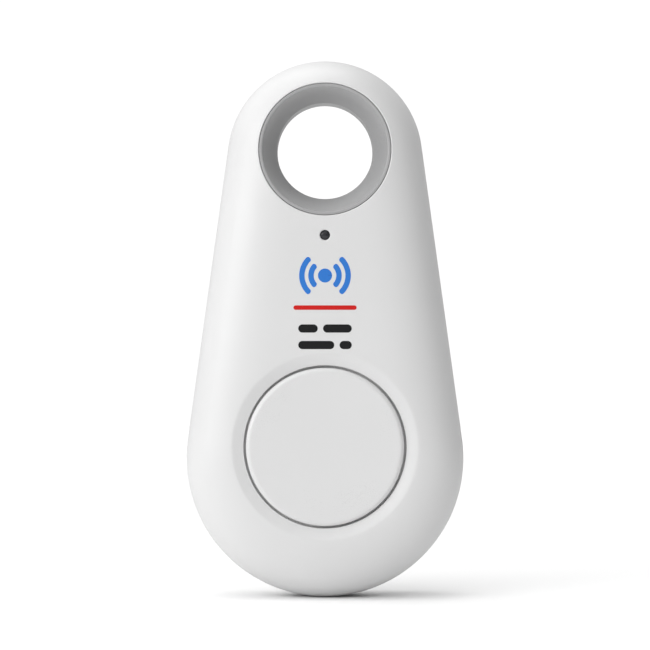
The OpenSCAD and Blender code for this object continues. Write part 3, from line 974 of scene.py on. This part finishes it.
@dataclass
class SnapDome:
    """The switch's thin steel dome, which the plunger flattens.

    Attributes:
        shape: the case's shape.
        radius: radius of its foot.
        foot_y: depth of its foot.
        high: its height.
        thick: thickness of the sheet.
        steps: steps round.
    """

    shape: CaseShape
    radius: float = 1.8
    foot_y: float = -1.3
    high: float = 0.35
    thick: float = 0.08
    steps: int = 72

    def build(self) -> Piece:
        """Makes the dome as two arcs of one centre, between the case and the plunger.

        Returns:
            The new object.
        """
        ball = (self.radius ** 2 + self.high ** 2) / (2 * self.high)
        centre = self.foot_y - self.high + ball
        inside = math.sqrt((ball - self.thick) ** 2 - (centre - self.foot_y) ** 2)
        r = np.concatenate([np.linspace(0, self.radius, 20), np.linspace(inside, 0, 20)])
        y = centre - np.sqrt(np.repeat([ball, ball - self.thick], 20) ** 2 - r * r)
        skin = Skin("snap_dome")
        skin.add(spun(r, y, self.shape.button_z, self.steps))
        piece = skin.build(None)
        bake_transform(piece)
        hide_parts("switch_dome")
        return piece


# ---------------------------------------------------------------- the printed mark


@dataclass
class PrintedMark:
    """A generic printed mark: a beacon of arcs round a dot, a plain rule and two short rows.

    Attributes:
        shape: the case's shape.
        proud: how far the ink stands above the face.
        sunk: how far its border is turned down into it.
        beacon_z: where the beacon stands.
        dot_r: radius of its dot.
        bows: radii that each arc lies between.
        bow_half: half of each arc's sweep, in degrees.
        rule: left and right ends, height up the tag and thickness of the rule.
        dashes: the same for each dash.
    """

    shape: CaseShape
    proud: float = 0.012
    sunk: float = 0.01
    beacon_z: float = -13.05
    dot_r: float = 0.72
    bows: tuple[Pair, ...] = ((1.16, 1.72), (2.1, 2.66))
    bow_half: float = 50.0
    rule: tuple[float, ...] = (-3.25, 3.25, -16.35, 0.46)
    dashes: tuple[tuple[float, ...], ...] = (
        (-2.75, -0.75, -18.5, 0.84), (-0.2, 2.75, -18.5, 0.84),
        (-2.75, 0.95, -20.2, 0.84), (1.5, 2.75, -20.2, 0.84))

    def ink(self, skin: Skin, x: Array, z: Array) -> None:
        """Lays a film of ink over a plan grid, with its border turned down into the face.

        Args:
            skin: the mesh that the film is added to.
            x: the grid's coordinates across the tag.
            z: the grid's coordinates up the tag.
        """
        pad = ((1, 1), (1, 1))
        lift = np.pad(np.full(x.shape, self.proud), pad, constant_values=-self.sunk)
        x, z = np.pad(x, pad, "edge"), np.pad(z, pad, "edge")
        skin.add(plan_to_space(x, z, self.shape.face(x, z, Side.FRONT) - lift), FRONTWARDS,
                 closed_u=False)

    def bow(self, skin: Skin, radii: Pair, mid: float) -> None:
        """An arc of the beacon, its ends rounded by narrowing like a circle's edge.

        Args:
            skin: the mesh that it is added to.
            radii: the radii that it lies between.
            mid: the angle of its middle, in degrees.
        """
        r0, r1 = radii
        a = np.radians(np.linspace(mid - self.bow_half, mid + self.bow_half, 49))[:, None]
        end = (self.bow_half - np.abs(np.degrees(a) - mid)) / np.degrees((r1 - r0) / 2 / r1)
        width = (r1 - r0) / 2 * np.sqrt(1 - (1 - np.clip(end, 0, 1)) ** 2)
        r = (r0 + r1) / 2 + width * np.linspace(-1, 1, 5)[None, :]
        self.ink(skin, r * np.cos(a), self.beacon_z + r * np.sin(a))

    def bar(self, skin: Skin, x0: float, x1: float, centre_z: float, height: float) -> None:
        """A bar of ink, its ends rounded by narrowing like a circle's edge.

        Args:
            skin: the mesh that it is added to.
            x0: its left end.
            x1: its right end.
            centre_z: where it stands.
            height: its thickness.
        """
        x = x0 + (x1 - x0) * (1 - np.cos(np.linspace(0, math.pi, 41)[:, None])) / 2
        r = height / 2
        off = np.clip(np.minimum(x - x0, x1 - x) / r, 0, 1)
        z = centre_z + r * np.sqrt(1 - (1 - off) ** 2) * np.linspace(-1, 1, 5)[None, :]
        self.ink(skin, x + 0 * z, z)

    def build(self) -> list[Piece]:
        """Makes the three inks, each one piece.

        Returns:
            The blue, red and dark ink.
        """
        blue, red, dark = skins = [Skin(f"mark_{ink}") for ink in ("blue", "red", "dark")]
        spin = np.linspace(0, 2 * math.pi, 41)[:, None]
        r = self.dot_r * np.linspace(0, 1, 6)[None, :]
        self.ink(blue, r * np.cos(spin), self.beacon_z + r * np.sin(spin))
        for mid in (0, 180):
            for radii in self.bows:
                self.bow(blue, radii, mid)
        self.bar(red, *self.rule)
        for dash in self.dashes:
            self.bar(dark, *dash)
        return [skin.build(Body.CASE) for skin in skins]


# ---------------------------------------------------------------- node groups

MIDDLE = (0.3, 0.7)
POLISHED = (0.42, 0.62)
SCRATCH_TURNS = (0.6, -0.9)
SCRATCH_SCALE = (2600.0, 2600.0, 45.0)
SCRATCH_PEAKS = (0.735, 0.78)
SPECK_EDGE = (0.10, 0.05)
SPECKS_KEPT = (0.60, 0.68)


class Graph:
    """A node tree with short calls for adding and joining nodes."""

    def __init__(self, tree: Tree) -> None:
        """Takes the tree to be filled."""
        self.tree = tree

    def add(self, kind: str, values: dict[str | int, object] | None = None,
            **props: object) -> Node:
        """Adds a node.

        Args:
            kind: the node's type, without its ShaderNode prefix.
            values: socket values, or sockets to link from, by the input's name or number.
            **props: properties of the node.

        Returns:
            The node.
        """
        node = self.tree.nodes.new("ShaderNode" + kind if kind[:4] != "Node" else kind)
        for key, value in props.items():
            setattr(node, key, value)
        for key, value in (values or {}).items():
            if isinstance(value, bpy.types.NodeSocket):
                self.join(value, node, key)
            else:
                node.inputs[key].default_value = value
        return node

    def join(self, value: Socket, node: Node, key: str | int) -> None:
        """Links a socket to a node's input."""
        self.tree.links.new(value, node.inputs[key])

    def math(self, op: str, a: object, b: object = 0.0, clamp: bool = False) -> Socket:
        """One arithmetic step on two numbers or sockets."""
        return self.add("Math", {0: a, 1: b}, operation=op, use_clamp=clamp).outputs[0]

    def times(self, a: object, b: object) -> Socket:
        """The product of two numbers or sockets."""
        return self.math("MULTIPLY", a, b)

    def noise(self, place: Socket, scale: object, detail: float) -> Socket:
        """A soft noise, so many swells to the metre."""
        return self.add("TexNoise", {"Vector": place, "Scale": scale,
                                     "Detail": detail}).outputs["Fac"]

    def spread(self, value: object, span: Pair, to: Pair = (0.0, 1.0)) -> Socket:
        """Maps a range of a value onto another, smoothly and held at its ends."""
        return self.add("MapRange", {"Value": value, "From Min": span[0], "From Max": span[1],
                                     "To Min": to[0], "To Max": to[1]},
                        interpolation_type="SMOOTHSTEP").outputs["Result"]

    def blend(self, mask: object, a: object, b: object) -> Socket:
        """Mixes two colours by a mask."""
        return self.add("Mix", {"Factor": mask, 6: a, 7: b}, data_type="RGBA").outputs[2]

    def place(self) -> Socket:
        """The piece's own coordinates, in metres."""
        return self.add("TexCoord").outputs["Object"]

    def use(self, tree: Tree, key: str, value: float) -> dict[str, Socket]:
        """Places a group on the piece's coordinates, with one value of its own.

        Args:
            tree: the group.
            key: the name of its number input.
            value: what that input is set to.

        Returns:
            Its outputs by name.
        """
        node = self.add("Group", node_tree=tree)
        self.join(self.place(), node, "Vector")
        node.inputs[key].default_value = value
        return {socket.name: socket for socket in node.outputs}

    def relief(self, shader: Node, height: Socket, strength: float, distance: float) -> None:
        """Joins a height in steps of distance metres to the shader's normal."""
        bump = self.add("Bump", {"Height": height, "Strength": strength, "Distance": distance})
        self.join(bump.outputs[0], shader, "Normal")


def group(name: str, key: str, value: float,
          fill: Callable[[Graph, Socket, Socket], dict[str, Socket]]) -> Tree:
    """Makes a node group once, with a Vector input and a number input.

    Args:
        name: the group's name.
        key: the name of its number input.
        value: that input's default.
        fill: builds the inside from the two inputs, and returns a socket for each output.

    Returns:
        The group.
    """
    if name in bpy.data.node_groups:
        return bpy.data.node_groups[name]
    tree = bpy.data.node_groups.new(name, "ShaderNodeTree")
    tree.interface.new_socket("Vector", in_out="INPUT", socket_type="NodeSocketVector")
    number = tree.interface.new_socket(key, in_out="INPUT", socket_type="NodeSocketFloat")
    number.default_value = value
    g = Graph(tree)
    given = g.add("NodeGroupInput").outputs
    made = fill(g, given["Vector"], given[key])
    for output in made:
        tree.interface.new_socket(output, in_out="OUTPUT", socket_type="NodeSocketFloat")
    g.add("NodeGroupOutput", dict(made))
    return tree


def fill_grain(g: Graph, place: Socket, size: Socket) -> dict[str, Socket]:
    """Two sizes of grain, and the slow swell of a moulded wall under them.

    Args:
        g: the group's graph.
        place: where on the piece.
        size: grains per metre.

    Returns:
        The height, the fine grain and the swell.
    """
    fine = g.noise(place, size, 2.0)
    pits = g.add("TexVoronoi", {"Vector": place, "Scale": g.times(size, 0.6)},
                 feature="SMOOTH_F1").outputs["Distance"]
    return {"Height": g.math("ADD", fine, g.times(pits, 0.5)), "Grain": fine,
            "Swell": g.noise(place, 90.0, 1.0)}


def fill_handling(g: Graph, place: Socket, scratches: Socket) -> dict[str, Socket]:
    """Where hands have polished a surface, and hairline scratches in two directions.

    Args:
        g: the group's graph.
        place: where on the piece.
        scratches: strength of the scratches.

    Returns:
        The polish and the scratches. A scratch is the peak of a noise stretched along it.
    """
    lines = []
    for turn in SCRATCH_TURNS:
        way = g.add("Mapping", {"Vector": place, "Rotation": (0.0, turn, 0.0),
                                "Scale": SCRATCH_SCALE}).outputs[0]
        lines.append(g.spread(g.noise(way, 1.0, 0.0), SCRATCH_PEAKS))
    return {"Polish": g.spread(g.noise(place, 120.0, 3.0), POLISHED),
            "Scratch": g.times(g.math("MAXIMUM", *lines), scratches)}


def fill_dust(g: Graph, place: Socket, amount: Socket) -> dict[str, Socket]:
    """Sparse specks of dust, thickest on what faces up.

    Args:
        g: the group's graph.
        place: where on the piece.
        amount: how strongly the specks show.

    Returns:
        The dust.
    """
    speck = g.add("TexVoronoi", {"Vector": place, "Scale": 1400.0}).outputs["Distance"]
    up = g.add("SeparateXYZ", {0: g.add("NewGeometry").outputs["Normal"]}).outputs["Z"]
    pick = g.math("ADD", g.noise(place, 500.0, 2.0), g.times(up, 0.06))
    few = g.times(g.spread(speck, SPECK_EDGE), g.spread(pick, SPECKS_KEPT))
    return {"Dust": g.times(few, amount)}


# ---------------------------------------------------------------- finishes


@dataclass(frozen=True)
class Finish:
    """A material with one main shader.

    Attributes:
        name: the material's name.
        colour: its base colour.
    """

    name: str
    colour: Triple

    def shade(self, factor: float = 1.0) -> tuple[float, ...]:
        """The colour times a factor, with full cover."""
        return (*(c * factor for c in self.colour), 1.0)

    def grain(self, g: Graph, size: float) -> dict[str, Socket]:
        """The moulded grain, at so many grains to the metre."""
        tree = group("Moulded grain", "Grains per metre", 9000.0, fill_grain)
        return g.use(tree, "Grains per metre", size)

    def handling(self, g: Graph, scratches: float) -> dict[str, Socket]:
        """The marks that hands leave."""
        return g.use(group("Handling", "Scratches", 0.3, fill_handling), "Scratches", scratches)

    def fill(self, g: Graph, shader: Node) -> None:
        """Fills in the shader, as each kind of finish says."""
        raise NotImplementedError(self.name)

    def build(self) -> bpy.types.Material:
        """Makes the material.

        Returns:
            The material.
        """
        material = bpy.data.materials.new(self.name)
        material.use_nodes = True
        self.fill(Graph(material.node_tree), material.node_tree.nodes["Principled BSDF"])
        return material


@dataclass(frozen=True)
class Moulded(Finish):
    """Moulded plastic, rubber, ceramic or ink.

    Attributes:
        rough: roughness where it is untouched.
        grains: grains per metre.
        depth: strength of the grain.
        tint: how far the colour wanders.
        scratch: strength of hairline scratches.
        dust: amount of dust.
        specular: strength of its shine.
        shine: how much smoother it is where hands have polished it.
        vary: how far its roughness wanders.
        dust_colour: colour of the dust.
    """

    rough: float = 0.4
    grains: float = 9000.0
    depth: float = 0.5
    tint: float = 0.03
    scratch: float = 0.2
    dust: float = 0.2
    specular: float = 0.5
    shine: float = 0.04
    vary: float = 0.03
    dust_colour: tuple[float, ...] = (0.62, 0.61, 0.59, 1.0)

    def fill(self, g: Graph, shader: Node) -> None:
        """Gives the shader grain, slow changes of tint, polish, scratches and dust.

        Args:
            g: the material's graph.
            shader: its main shader.
        """
        grain, hands = self.grain(g, self.grains), self.handling(g, self.scratch)
        dust = g.use(group("Settled dust", "Amount", 0.3, fill_dust), "Amount", self.dust)["Dust"]
        base = g.blend(g.spread(grain["Swell"], (0.35, 0.65)), self.shade(1 - self.tint),
                       self.shade(1 + self.tint))
        g.join(g.blend(dust, base, self.dust_colour), shader, "Base Color")
        rough = g.spread(grain["Grain"], MIDDLE, (self.rough - self.vary, self.rough + self.vary))
        rough = g.math("SUBTRACT", rough, g.times(hands["Polish"], self.shine))
        rough = g.math("ADD", rough, g.times(hands["Scratch"], 0.15))
        g.join(g.math("ADD", rough, g.times(dust, 0.3), True), shader, "Roughness")
        height = g.math("SUBTRACT", g.times(grain["Height"], self.depth), hands["Scratch"])
        g.relief(shader, height, 0.25, 0.00002)
        shader.inputs["Specular IOR Level"].default_value = self.specular


@dataclass(frozen=True)
class Metal(Finish):
    """Rolled, plated or turned metal.

    Attributes:
        rough: its roughness.
        brush: streaks per metre across the brushing.
        stretch: how much longer the streaks are along X than across.
        depth: strength of the brushing.
        tarnish: how much darker its dull patches are.
        scratch: strength of hairline scratches.
        swell: grains per metre of the grain whose swell places the dull patches.
    """

    rough: float = 0.3
    brush: float = 9000.0
    stretch: float = 30.0
    depth: float = 0.3
    tarnish: float = 0.12
    scratch: float = 0.35
    swell: float = 2600.0

    def fill(self, g: Graph, shader: Node) -> None:
        """Gives the shader dull patches, polish, scratches and brushing.

        Args:
            g: the material's graph.
            shader: its main shader.
        """
        shader.inputs["Metallic"].default_value = 1.0
        grain, hands = self.grain(g, self.swell), self.handling(g, self.scratch)
        way = g.add("Mapping", {"Vector": g.place(), "Scale": (self.brush / self.stretch,
                                                               self.brush, self.brush)})
        streak = g.noise(way.outputs[0], 1.0, 2.0)
        g.join(g.blend(g.spread(grain["Swell"], MIDDLE), self.shade(1 - self.tarnish),
                       self.shade()), shader, "Base Color")
        rough = g.spread(streak, MIDDLE, (self.rough - 0.05, self.rough + 0.05))
        rough = g.math("SUBTRACT", rough, g.times(hands["Polish"], 0.04), True)
        g.join(rough, shader, "Roughness")
        g.relief(shader, g.math("SUBTRACT", g.times(streak, self.depth), hands["Scratch"]),
                 0.3, 0.00001)


@dataclass(frozen=True)
class SolderMask(Finish):
    """The board's lacquer, with copper tracks just showing under it, and plated holes.

    Attributes:
        over_copper: the lacquer's colour over a track.
        plating: colour of the plated holes.
        tracks: tracks per metre.
    """

    over_copper: tuple[float, ...] = (0.03, 0.19, 0.085, 1.0)
    plating: tuple[float, ...] = (0.55, 0.42, 0.2, 1.0)
    tracks: float = 1250.0

    def fill(self, g: Graph, shader: Node) -> None:
        """Tracks are thin bands of a stepped wave, along X or Z from one square cell to another.

        Args:
            g: the material's graph.
            shader: its main shader.
        """
        place = g.place()
        cells = g.add("TexVoronoi", {"Vector": place, "Scale": 420.0, "Randomness": 0.6},
                      distance="CHEBYCHEV").outputs["Color"]
        parts = g.add("SeparateColor", {0: cells}).outputs
        axes = g.add("SeparateXYZ", {0: place}).outputs
        run = g.blend(g.math("GREATER_THAN", parts[0], 0.5), axes["X"], axes["Z"])
        run = g.add("SeparateColor", {0: run}).outputs[0]
        wave = g.math("FRACT", g.times(run, self.tracks))
        track = g.times(g.math("LESS_THAN", wave, 0.34), g.math("GREATER_THAN", parts[1], 0.35))
        hole = g.add("TexVoronoi", {"Vector": place, "Scale": 330.0}).outputs["Distance"]
        lacquer = g.blend(track, self.shade(), self.over_copper)
        g.join(g.blend(g.spread(hole, (0.11, 0.09)), lacquer, self.plating), shader, "Base Color")
        shader.inputs["Roughness"].default_value = 0.28
        grain = g.times(self.grain(g, 5000.0)["Height"], 0.15)
        g.relief(shader, g.math("ADD", g.times(track, 0.8), grain), 0.5, 0.00003)


@dataclass(frozen=True)
class Woven(Finish):
    """A woven mesh or felt.

    Attributes:
        threads: how close the threads lie, as radians per metre.
    """

    threads: float = 4200.0

    def fill(self, g: Graph, shader: Node) -> None:
        """Raises the threads, the larger of two crossing waves, and paints shade between them.

        Args:
            g: the material's graph.
            shader: its main shader.
        """
        axes = g.add("SeparateXYZ", {0: g.place()}).outputs
        warp, weft = (g.math("ABSOLUTE", g.math("SINE", g.times(axes[k], self.threads)))
                      for k in ("X", "Z"))
        thread_rise_and_gap_shade = g.math("MAXIMUM", warp, weft)
        # painted shade: the gaps between the threads get 0.4 of the colour, the crests the full
        # colour
        g.join(g.blend(thread_rise_and_gap_shade, self.shade(0.4), self.shade()), shader, "Base Color")
        grain = self.grain(g, 12000.0)["Grain"]
        g.join(g.spread(grain, MIDDLE, (0.75, 0.95)), shader, "Roughness")
        g.relief(shader, thread_rise_and_gap_shade, 0.6, 0.00004)


@dataclass(frozen=True)
class Clear(Finish):
    """Clear or smoked resin, which lets light through.

    Attributes:
        through: how much light goes through.
        rough: its roughness.
    """

    through: float = 0.6
    rough: float = 0.12

    def fill(self, g: Graph, shader: Node) -> None:
        """Gives the shader a faint grain and slow changes of tint.

        Args:
            g: the material's graph.
            shader: its main shader.
        """
        grain = self.grain(g, 4000.0)
        g.join(g.blend(grain["Swell"], self.shade(0.8), self.shade()), shader, "Base Color")
        g.join(g.spread(grain["Grain"], MIDDLE, (self.rough, self.rough + 0.06)), shader,
               "Roughness")
        shader.inputs["Transmission Weight"].default_value = self.through
        g.relief(shader, grain["Height"], 0.1, 0.00001)


@dataclass
class Dressing:
    """Which finish each piece and each carried-over CAD node wears."""

    white: Finish = Moulded("White ABS", (0.80, 0.80, 0.80), 0.36, tint=0.006, dust=0.05,
                            scratch=0.08, depth=0.6)
    key: Finish = Moulded("Button ABS", (0.80, 0.80, 0.80), 0.33, tint=0.006, dust=0.04,
                          scratch=0.12)
    eyelet: Finish = Moulded("Satin grey", (0.42, 0.42, 0.423), 0.34, tint=0.008, dust=0.0,
                             scratch=0.05, depth=0.15)
    smoked: Finish = Clear("Smoked resin", (0.035, 0.035, 0.04), 0.2)
    blue: Finish = Moulded("Blue ink", (0.035, 0.215, 0.70), 0.55, tint=0.04, dust=0.0,
                           specular=0.25)
    red: Finish = Moulded("Red ink", (0.66, 0.012, 0.010), 0.55, tint=0.04, dust=0.0,
                          specular=0.25)
    dark: Finish = Moulded("Dark ink", (0.010, 0.010, 0.011), 0.55, tint=0.1, dust=0.0,
                           specular=0.2)
    mask: Finish = SolderMask("Solder mask", (0.012, 0.10, 0.045))
    gold: Finish = Metal("Gold plate", (0.83, 0.62, 0.28), 0.28, tarnish=0.08)
    resin: Finish = Moulded("Black resin", (0.018, 0.018, 0.02), 0.55, 7000.0, 0.9)
    solder: Finish = Metal("Tin solder", (0.72, 0.72, 0.74), 0.25, 3000.0, 1.0)
    fired: Finish = Moulded("Fired ceramic", (0.42, 0.29, 0.16), 0.5, tint=0.08)
    nickel: Finish = Metal("Nickel plate", (0.66, 0.64, 0.60), 0.22)
    pale: Finish = Moulded("White nylon", (0.78, 0.77, 0.73), 0.42)
    lens: Finish = Clear("Clear epoxy", (0.92, 0.88, 0.62), 0.85)
    steel: Finish = Metal("Spring steel", (0.62, 0.62, 0.63), 0.24)
    bronze: Finish = Metal("Phosphor bronze", (0.72, 0.44, 0.24), 0.26)
    nylon: Finish = Moulded("Grey nylon", (0.045, 0.045, 0.05), 0.46, 6500.0, 0.8)
    brass: Finish = Metal("Rolled brass", (0.78, 0.57, 0.26), 0.27, depth=0.5)
    piezo: Finish = Moulded("Silvered ceramic", (0.60, 0.59, 0.57), 0.3, tint=0.05)
    tape: Finish = Moulded("Adhesive", (0.55, 0.46, 0.25), 0.6)
    mesh: Finish = Woven("Black mesh", (0.02, 0.02, 0.022))
    foam: Finish = Moulded("Foam", (0.03, 0.03, 0.033), 0.9, 3500.0, 3.0)
    can: Finish = Metal("Cell steel", (0.66, 0.66, 0.67), depth=0.6)
    seal: Finish = Moulded("Seal nylon", (0.10, 0.10, 0.11), 0.5)
    lithium: Finish = Metal("Lithium", (0.5, 0.5, 0.52), 0.5)
    felt: Finish = Woven("Felt", (0.8, 0.8, 0.78), 2600.0)
    powder: Finish = Moulded("Pressed powder", (0.02, 0.02, 0.02), 0.85, depth=2.0)

    def wardrobe(self) -> dict[str, Finish]:
        """Names the finish of each CAD node that is carried over.

        Returns:
            The finishes by node.
        """
        worn = (
            (self.mask, "circuit_board"), (self.gold, "board_pads antenna_trace"),
            (self.resin, "radio_chip resistor_bodies switch_base"),
            (self.solder, "chip_pads resistor_ends capacitor_ends switch_terminals"),
            (self.fired, "crystal_base capacitor_bodies"), (self.nickel, "crystal_can"),
            (self.pale, "led_base switch_plunger"), (self.lens, "led_lens"),
            (self.steel, "switch_frame cell_positive_spring cell_negative_spring"),
            (self.nylon, "cell_cradle"), (self.bronze, "buzzer_centre_spring buzzer_rim_spring"),
            (self.tape, "buzzer_adhesive"), (self.brass, "buzzer_plate"),
            (self.piezo, "buzzer_ceramic"), (self.mesh, "sound_mesh"), (self.foam, "foam_pad"),
            (self.can, "cell_can cell_cap"), (self.seal, "cell_gasket"),
            (self.lithium, "cell_anode"), (self.felt, "cell_separator"),
            (self.powder, "cell_cathode"))
        return {node: finish for finish, nodes in worn for node in nodes.split()}

    def dress(self, piece: Piece, finish: Finish) -> None:
        """Gives a piece its finish, which is built the first time it is worn.

        Args:
            piece: the object.
            finish: what it wears.
        """
        material = bpy.data.materials.get(finish.name) or finish.build()
        piece.data.materials.clear()
        piece.data.materials.append(material)
        log.info("%s: %d faces, %s", piece.name, len(piece.data.polygons), finish.name)


# ---------------------------------------------------------------- studio


@dataclass
class Studio:
    """A white sweep, soft lights and the camera.

    Attributes:
        floor_z: where the tag's foot stands.
        floor_half: half the floor's width.
        floor_span: distances in metres over which the floor brightens to the eye.
        floor_tones: the floor's tone to light, and to the eye near the tag and away from it.
        camera_z: height of the camera, which looks level at the face.
        distance: from the camera to the middle of the case.
        lens: focal length on a sensor 36 mm wide.
        glows: the surround's glows, as axis, widest cosine, full cosine and strength.
        surround: brightness of the surround to the eye.
        lamps: square lights, as name, place, size and watts.
        aim: what the lamps look at.
    """

    floor_z: float = -46.55
    floor_half: float = 450.0
    floor_span: Pair = (0.07, 0.4)
    floor_tones: Triple = (0.9, 1.16, 1.6)
    camera_z: float = -18.14
    distance: float = 272.0
    lens: float = 143.4
    glows: tuple[tuple[Triple, float, float, float], ...] = (
        ((0.0, 1.0, 0.2), 0.0, 0.9, 0.51), ((0.0, -1.0, 0.15), 0.1, 0.95, 0.21),
        ((-0.6, -0.5, 0.6), 0.3, 0.95, 0.72), ((0.0, 0.0, 1.0), 0.2, 0.95, 0.36))
    surround: float = 1.05
    lamps: tuple[tuple[str, Triple, float, float], ...] = (
        ("key", (-230, -150, 70), 140, 0.154), ("second key", (-180, -240, 60), 90, 0.07),
        ("top", (-20, 0, 280), 200, 0.228))
    aim: Triple = (0, 0, -20)

    def floor(self) -> None:
        """A wide pale floor, which the eye sees a little brighter away from the tag's shadow."""
        reach = np.linspace(-self.floor_half, self.floor_half, 5)
        x, y = np.meshgrid(reach, reach)
        skin = Skin("floor")
        skin.add(plan_to_space(x, self.floor_z, y), (0.0, 0.0, 1.0), closed_u=False)
        piece = skin.build(None)
        material = bpy.data.materials.new("Studio floor")
        material.use_nodes = True
        g, shader = Graph(material.node_tree), material.node_tree.nodes["Principled BSDF"]
        bounced, near, far = ((tone, tone, tone, 1.0) for tone in self.floor_tones)
        away = g.add("VectorMath", {0: g.place()}, operation="LENGTH").outputs["Value"]
        shown = g.blend(g.spread(away, self.floor_span), near, far)
        eye = g.add("LightPath").outputs["Is Camera Ray"]
        g.join(g.blend(eye, bounced, shown), shader, "Base Color")
        shader.inputs["Roughness"].default_value = 0.8
        shader.inputs["Specular IOR Level"].default_value = 0.1
        piece.data.materials.append(material)

    def lamp(self, name: str, place: Triple, size: float, power: float) -> None:
        """A square soft light.

        Args:
            name: its name.
            place: where it stands.
            size: its width.
            power: its power in watts.
        """
        data = bpy.data.lights.new(name, "AREA")
        data.shape, data.size, data.energy = "SQUARE", size * MM, power
        lamp = bpy.data.objects.new(name, data)
        lamp.location = Vector(place) * MM
        lamp.rotation_mode = "QUATERNION"
        lamp.rotation_quaternion = (Vector(self.aim) - Vector(place)).to_track_quat("-Z", "Y")
        bpy.context.scene.collection.objects.link(lamp)

    def world(self) -> None:
        """A white surround for the eye, and soft glows from a few sides for light."""
        world = bpy.data.worlds.new("Sweep")
        bpy.context.scene.world = world
        world.use_nodes = True
        g = Graph(world.node_tree)
        world.node_tree.nodes.clear()
        way = g.add("TexCoord").outputs["Generated"]
        level: object = 0.0
        for axis, low, high, strength in self.glows:
            near = g.add("VectorMath", {0: way, 1: Vector(axis).normalized()},
                         operation="DOT_PRODUCT").outputs["Value"]
            level = g.math("ADD", level, g.spread(near, (low, high), (0.0, strength)))
        soft, white = (g.add("Background", {"Color": (1, 1, 1, 1), "Strength": strength})
                       for strength in (level, self.surround))
        eye = g.add("LightPath").outputs["Is Camera Ray"]
        both = g.add("MixShader", {0: eye, 1: soft.outputs[0], 2: white.outputs[0]})
        g.add("OutputWorld", {"Surface": both.outputs[0]})

    def camera(self) -> None:
        """The camera, level and square to the face."""
        data = bpy.data.cameras.new("camera")
        data.sensor_width, data.lens = 36.0, self.lens
        data.clip_start, data.clip_end = 0.01, 20.0
        camera = bpy.data.objects.new("camera", data)
        camera.location = Vector((0, -self.distance, self.camera_z)) * MM
        camera.rotation_euler = (math.pi / 2, 0, 0)
        bpy.context.scene.collection.objects.link(camera)
        bpy.context.scene.camera = camera

    def build(self) -> None:
        """Sets the whole stage."""
        self.camera()
        self.floor()
        self.world()
        for lamp in self.lamps:
            self.lamp(*lamp)
        bpy.context.scene.view_settings.view_transform = "Standard"
        bpy.context.scene.view_settings.look = "None"


# ---------------------------------------------------------------- assembly


def main() -> None:
    """Loads the frame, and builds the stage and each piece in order."""
    logging.basicConfig(level=logging.INFO, format="%(name)s: %(message)s")
    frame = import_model()
    Studio().build()
    shape, dressing = CaseShape(), Dressing()
    dressing.dress(FrontShell(shape).build(), dressing.white)
    dressing.dress(RearShell(shape).build(), dressing.white)
    dressing.dress(Liner(shape).build(), dressing.eyelet)
    dressing.dress(Button(shape).build(), dressing.key)
    dressing.dress(StatusLight().build(), dressing.smoked)
    dressing.dress(SnapDome(shape).build(), dressing.steel)
    inks = (dressing.blue, dressing.red, dressing.dark)
    for piece, ink in zip(PrintedMark(shape).build(), inks, strict=True):
        dressing.dress(piece, ink)
    for node, finish in dressing.wardrobe().items():
        dressing.dress(frame["nodes"][node], finish)


if __name__ == "__main__":
    main()
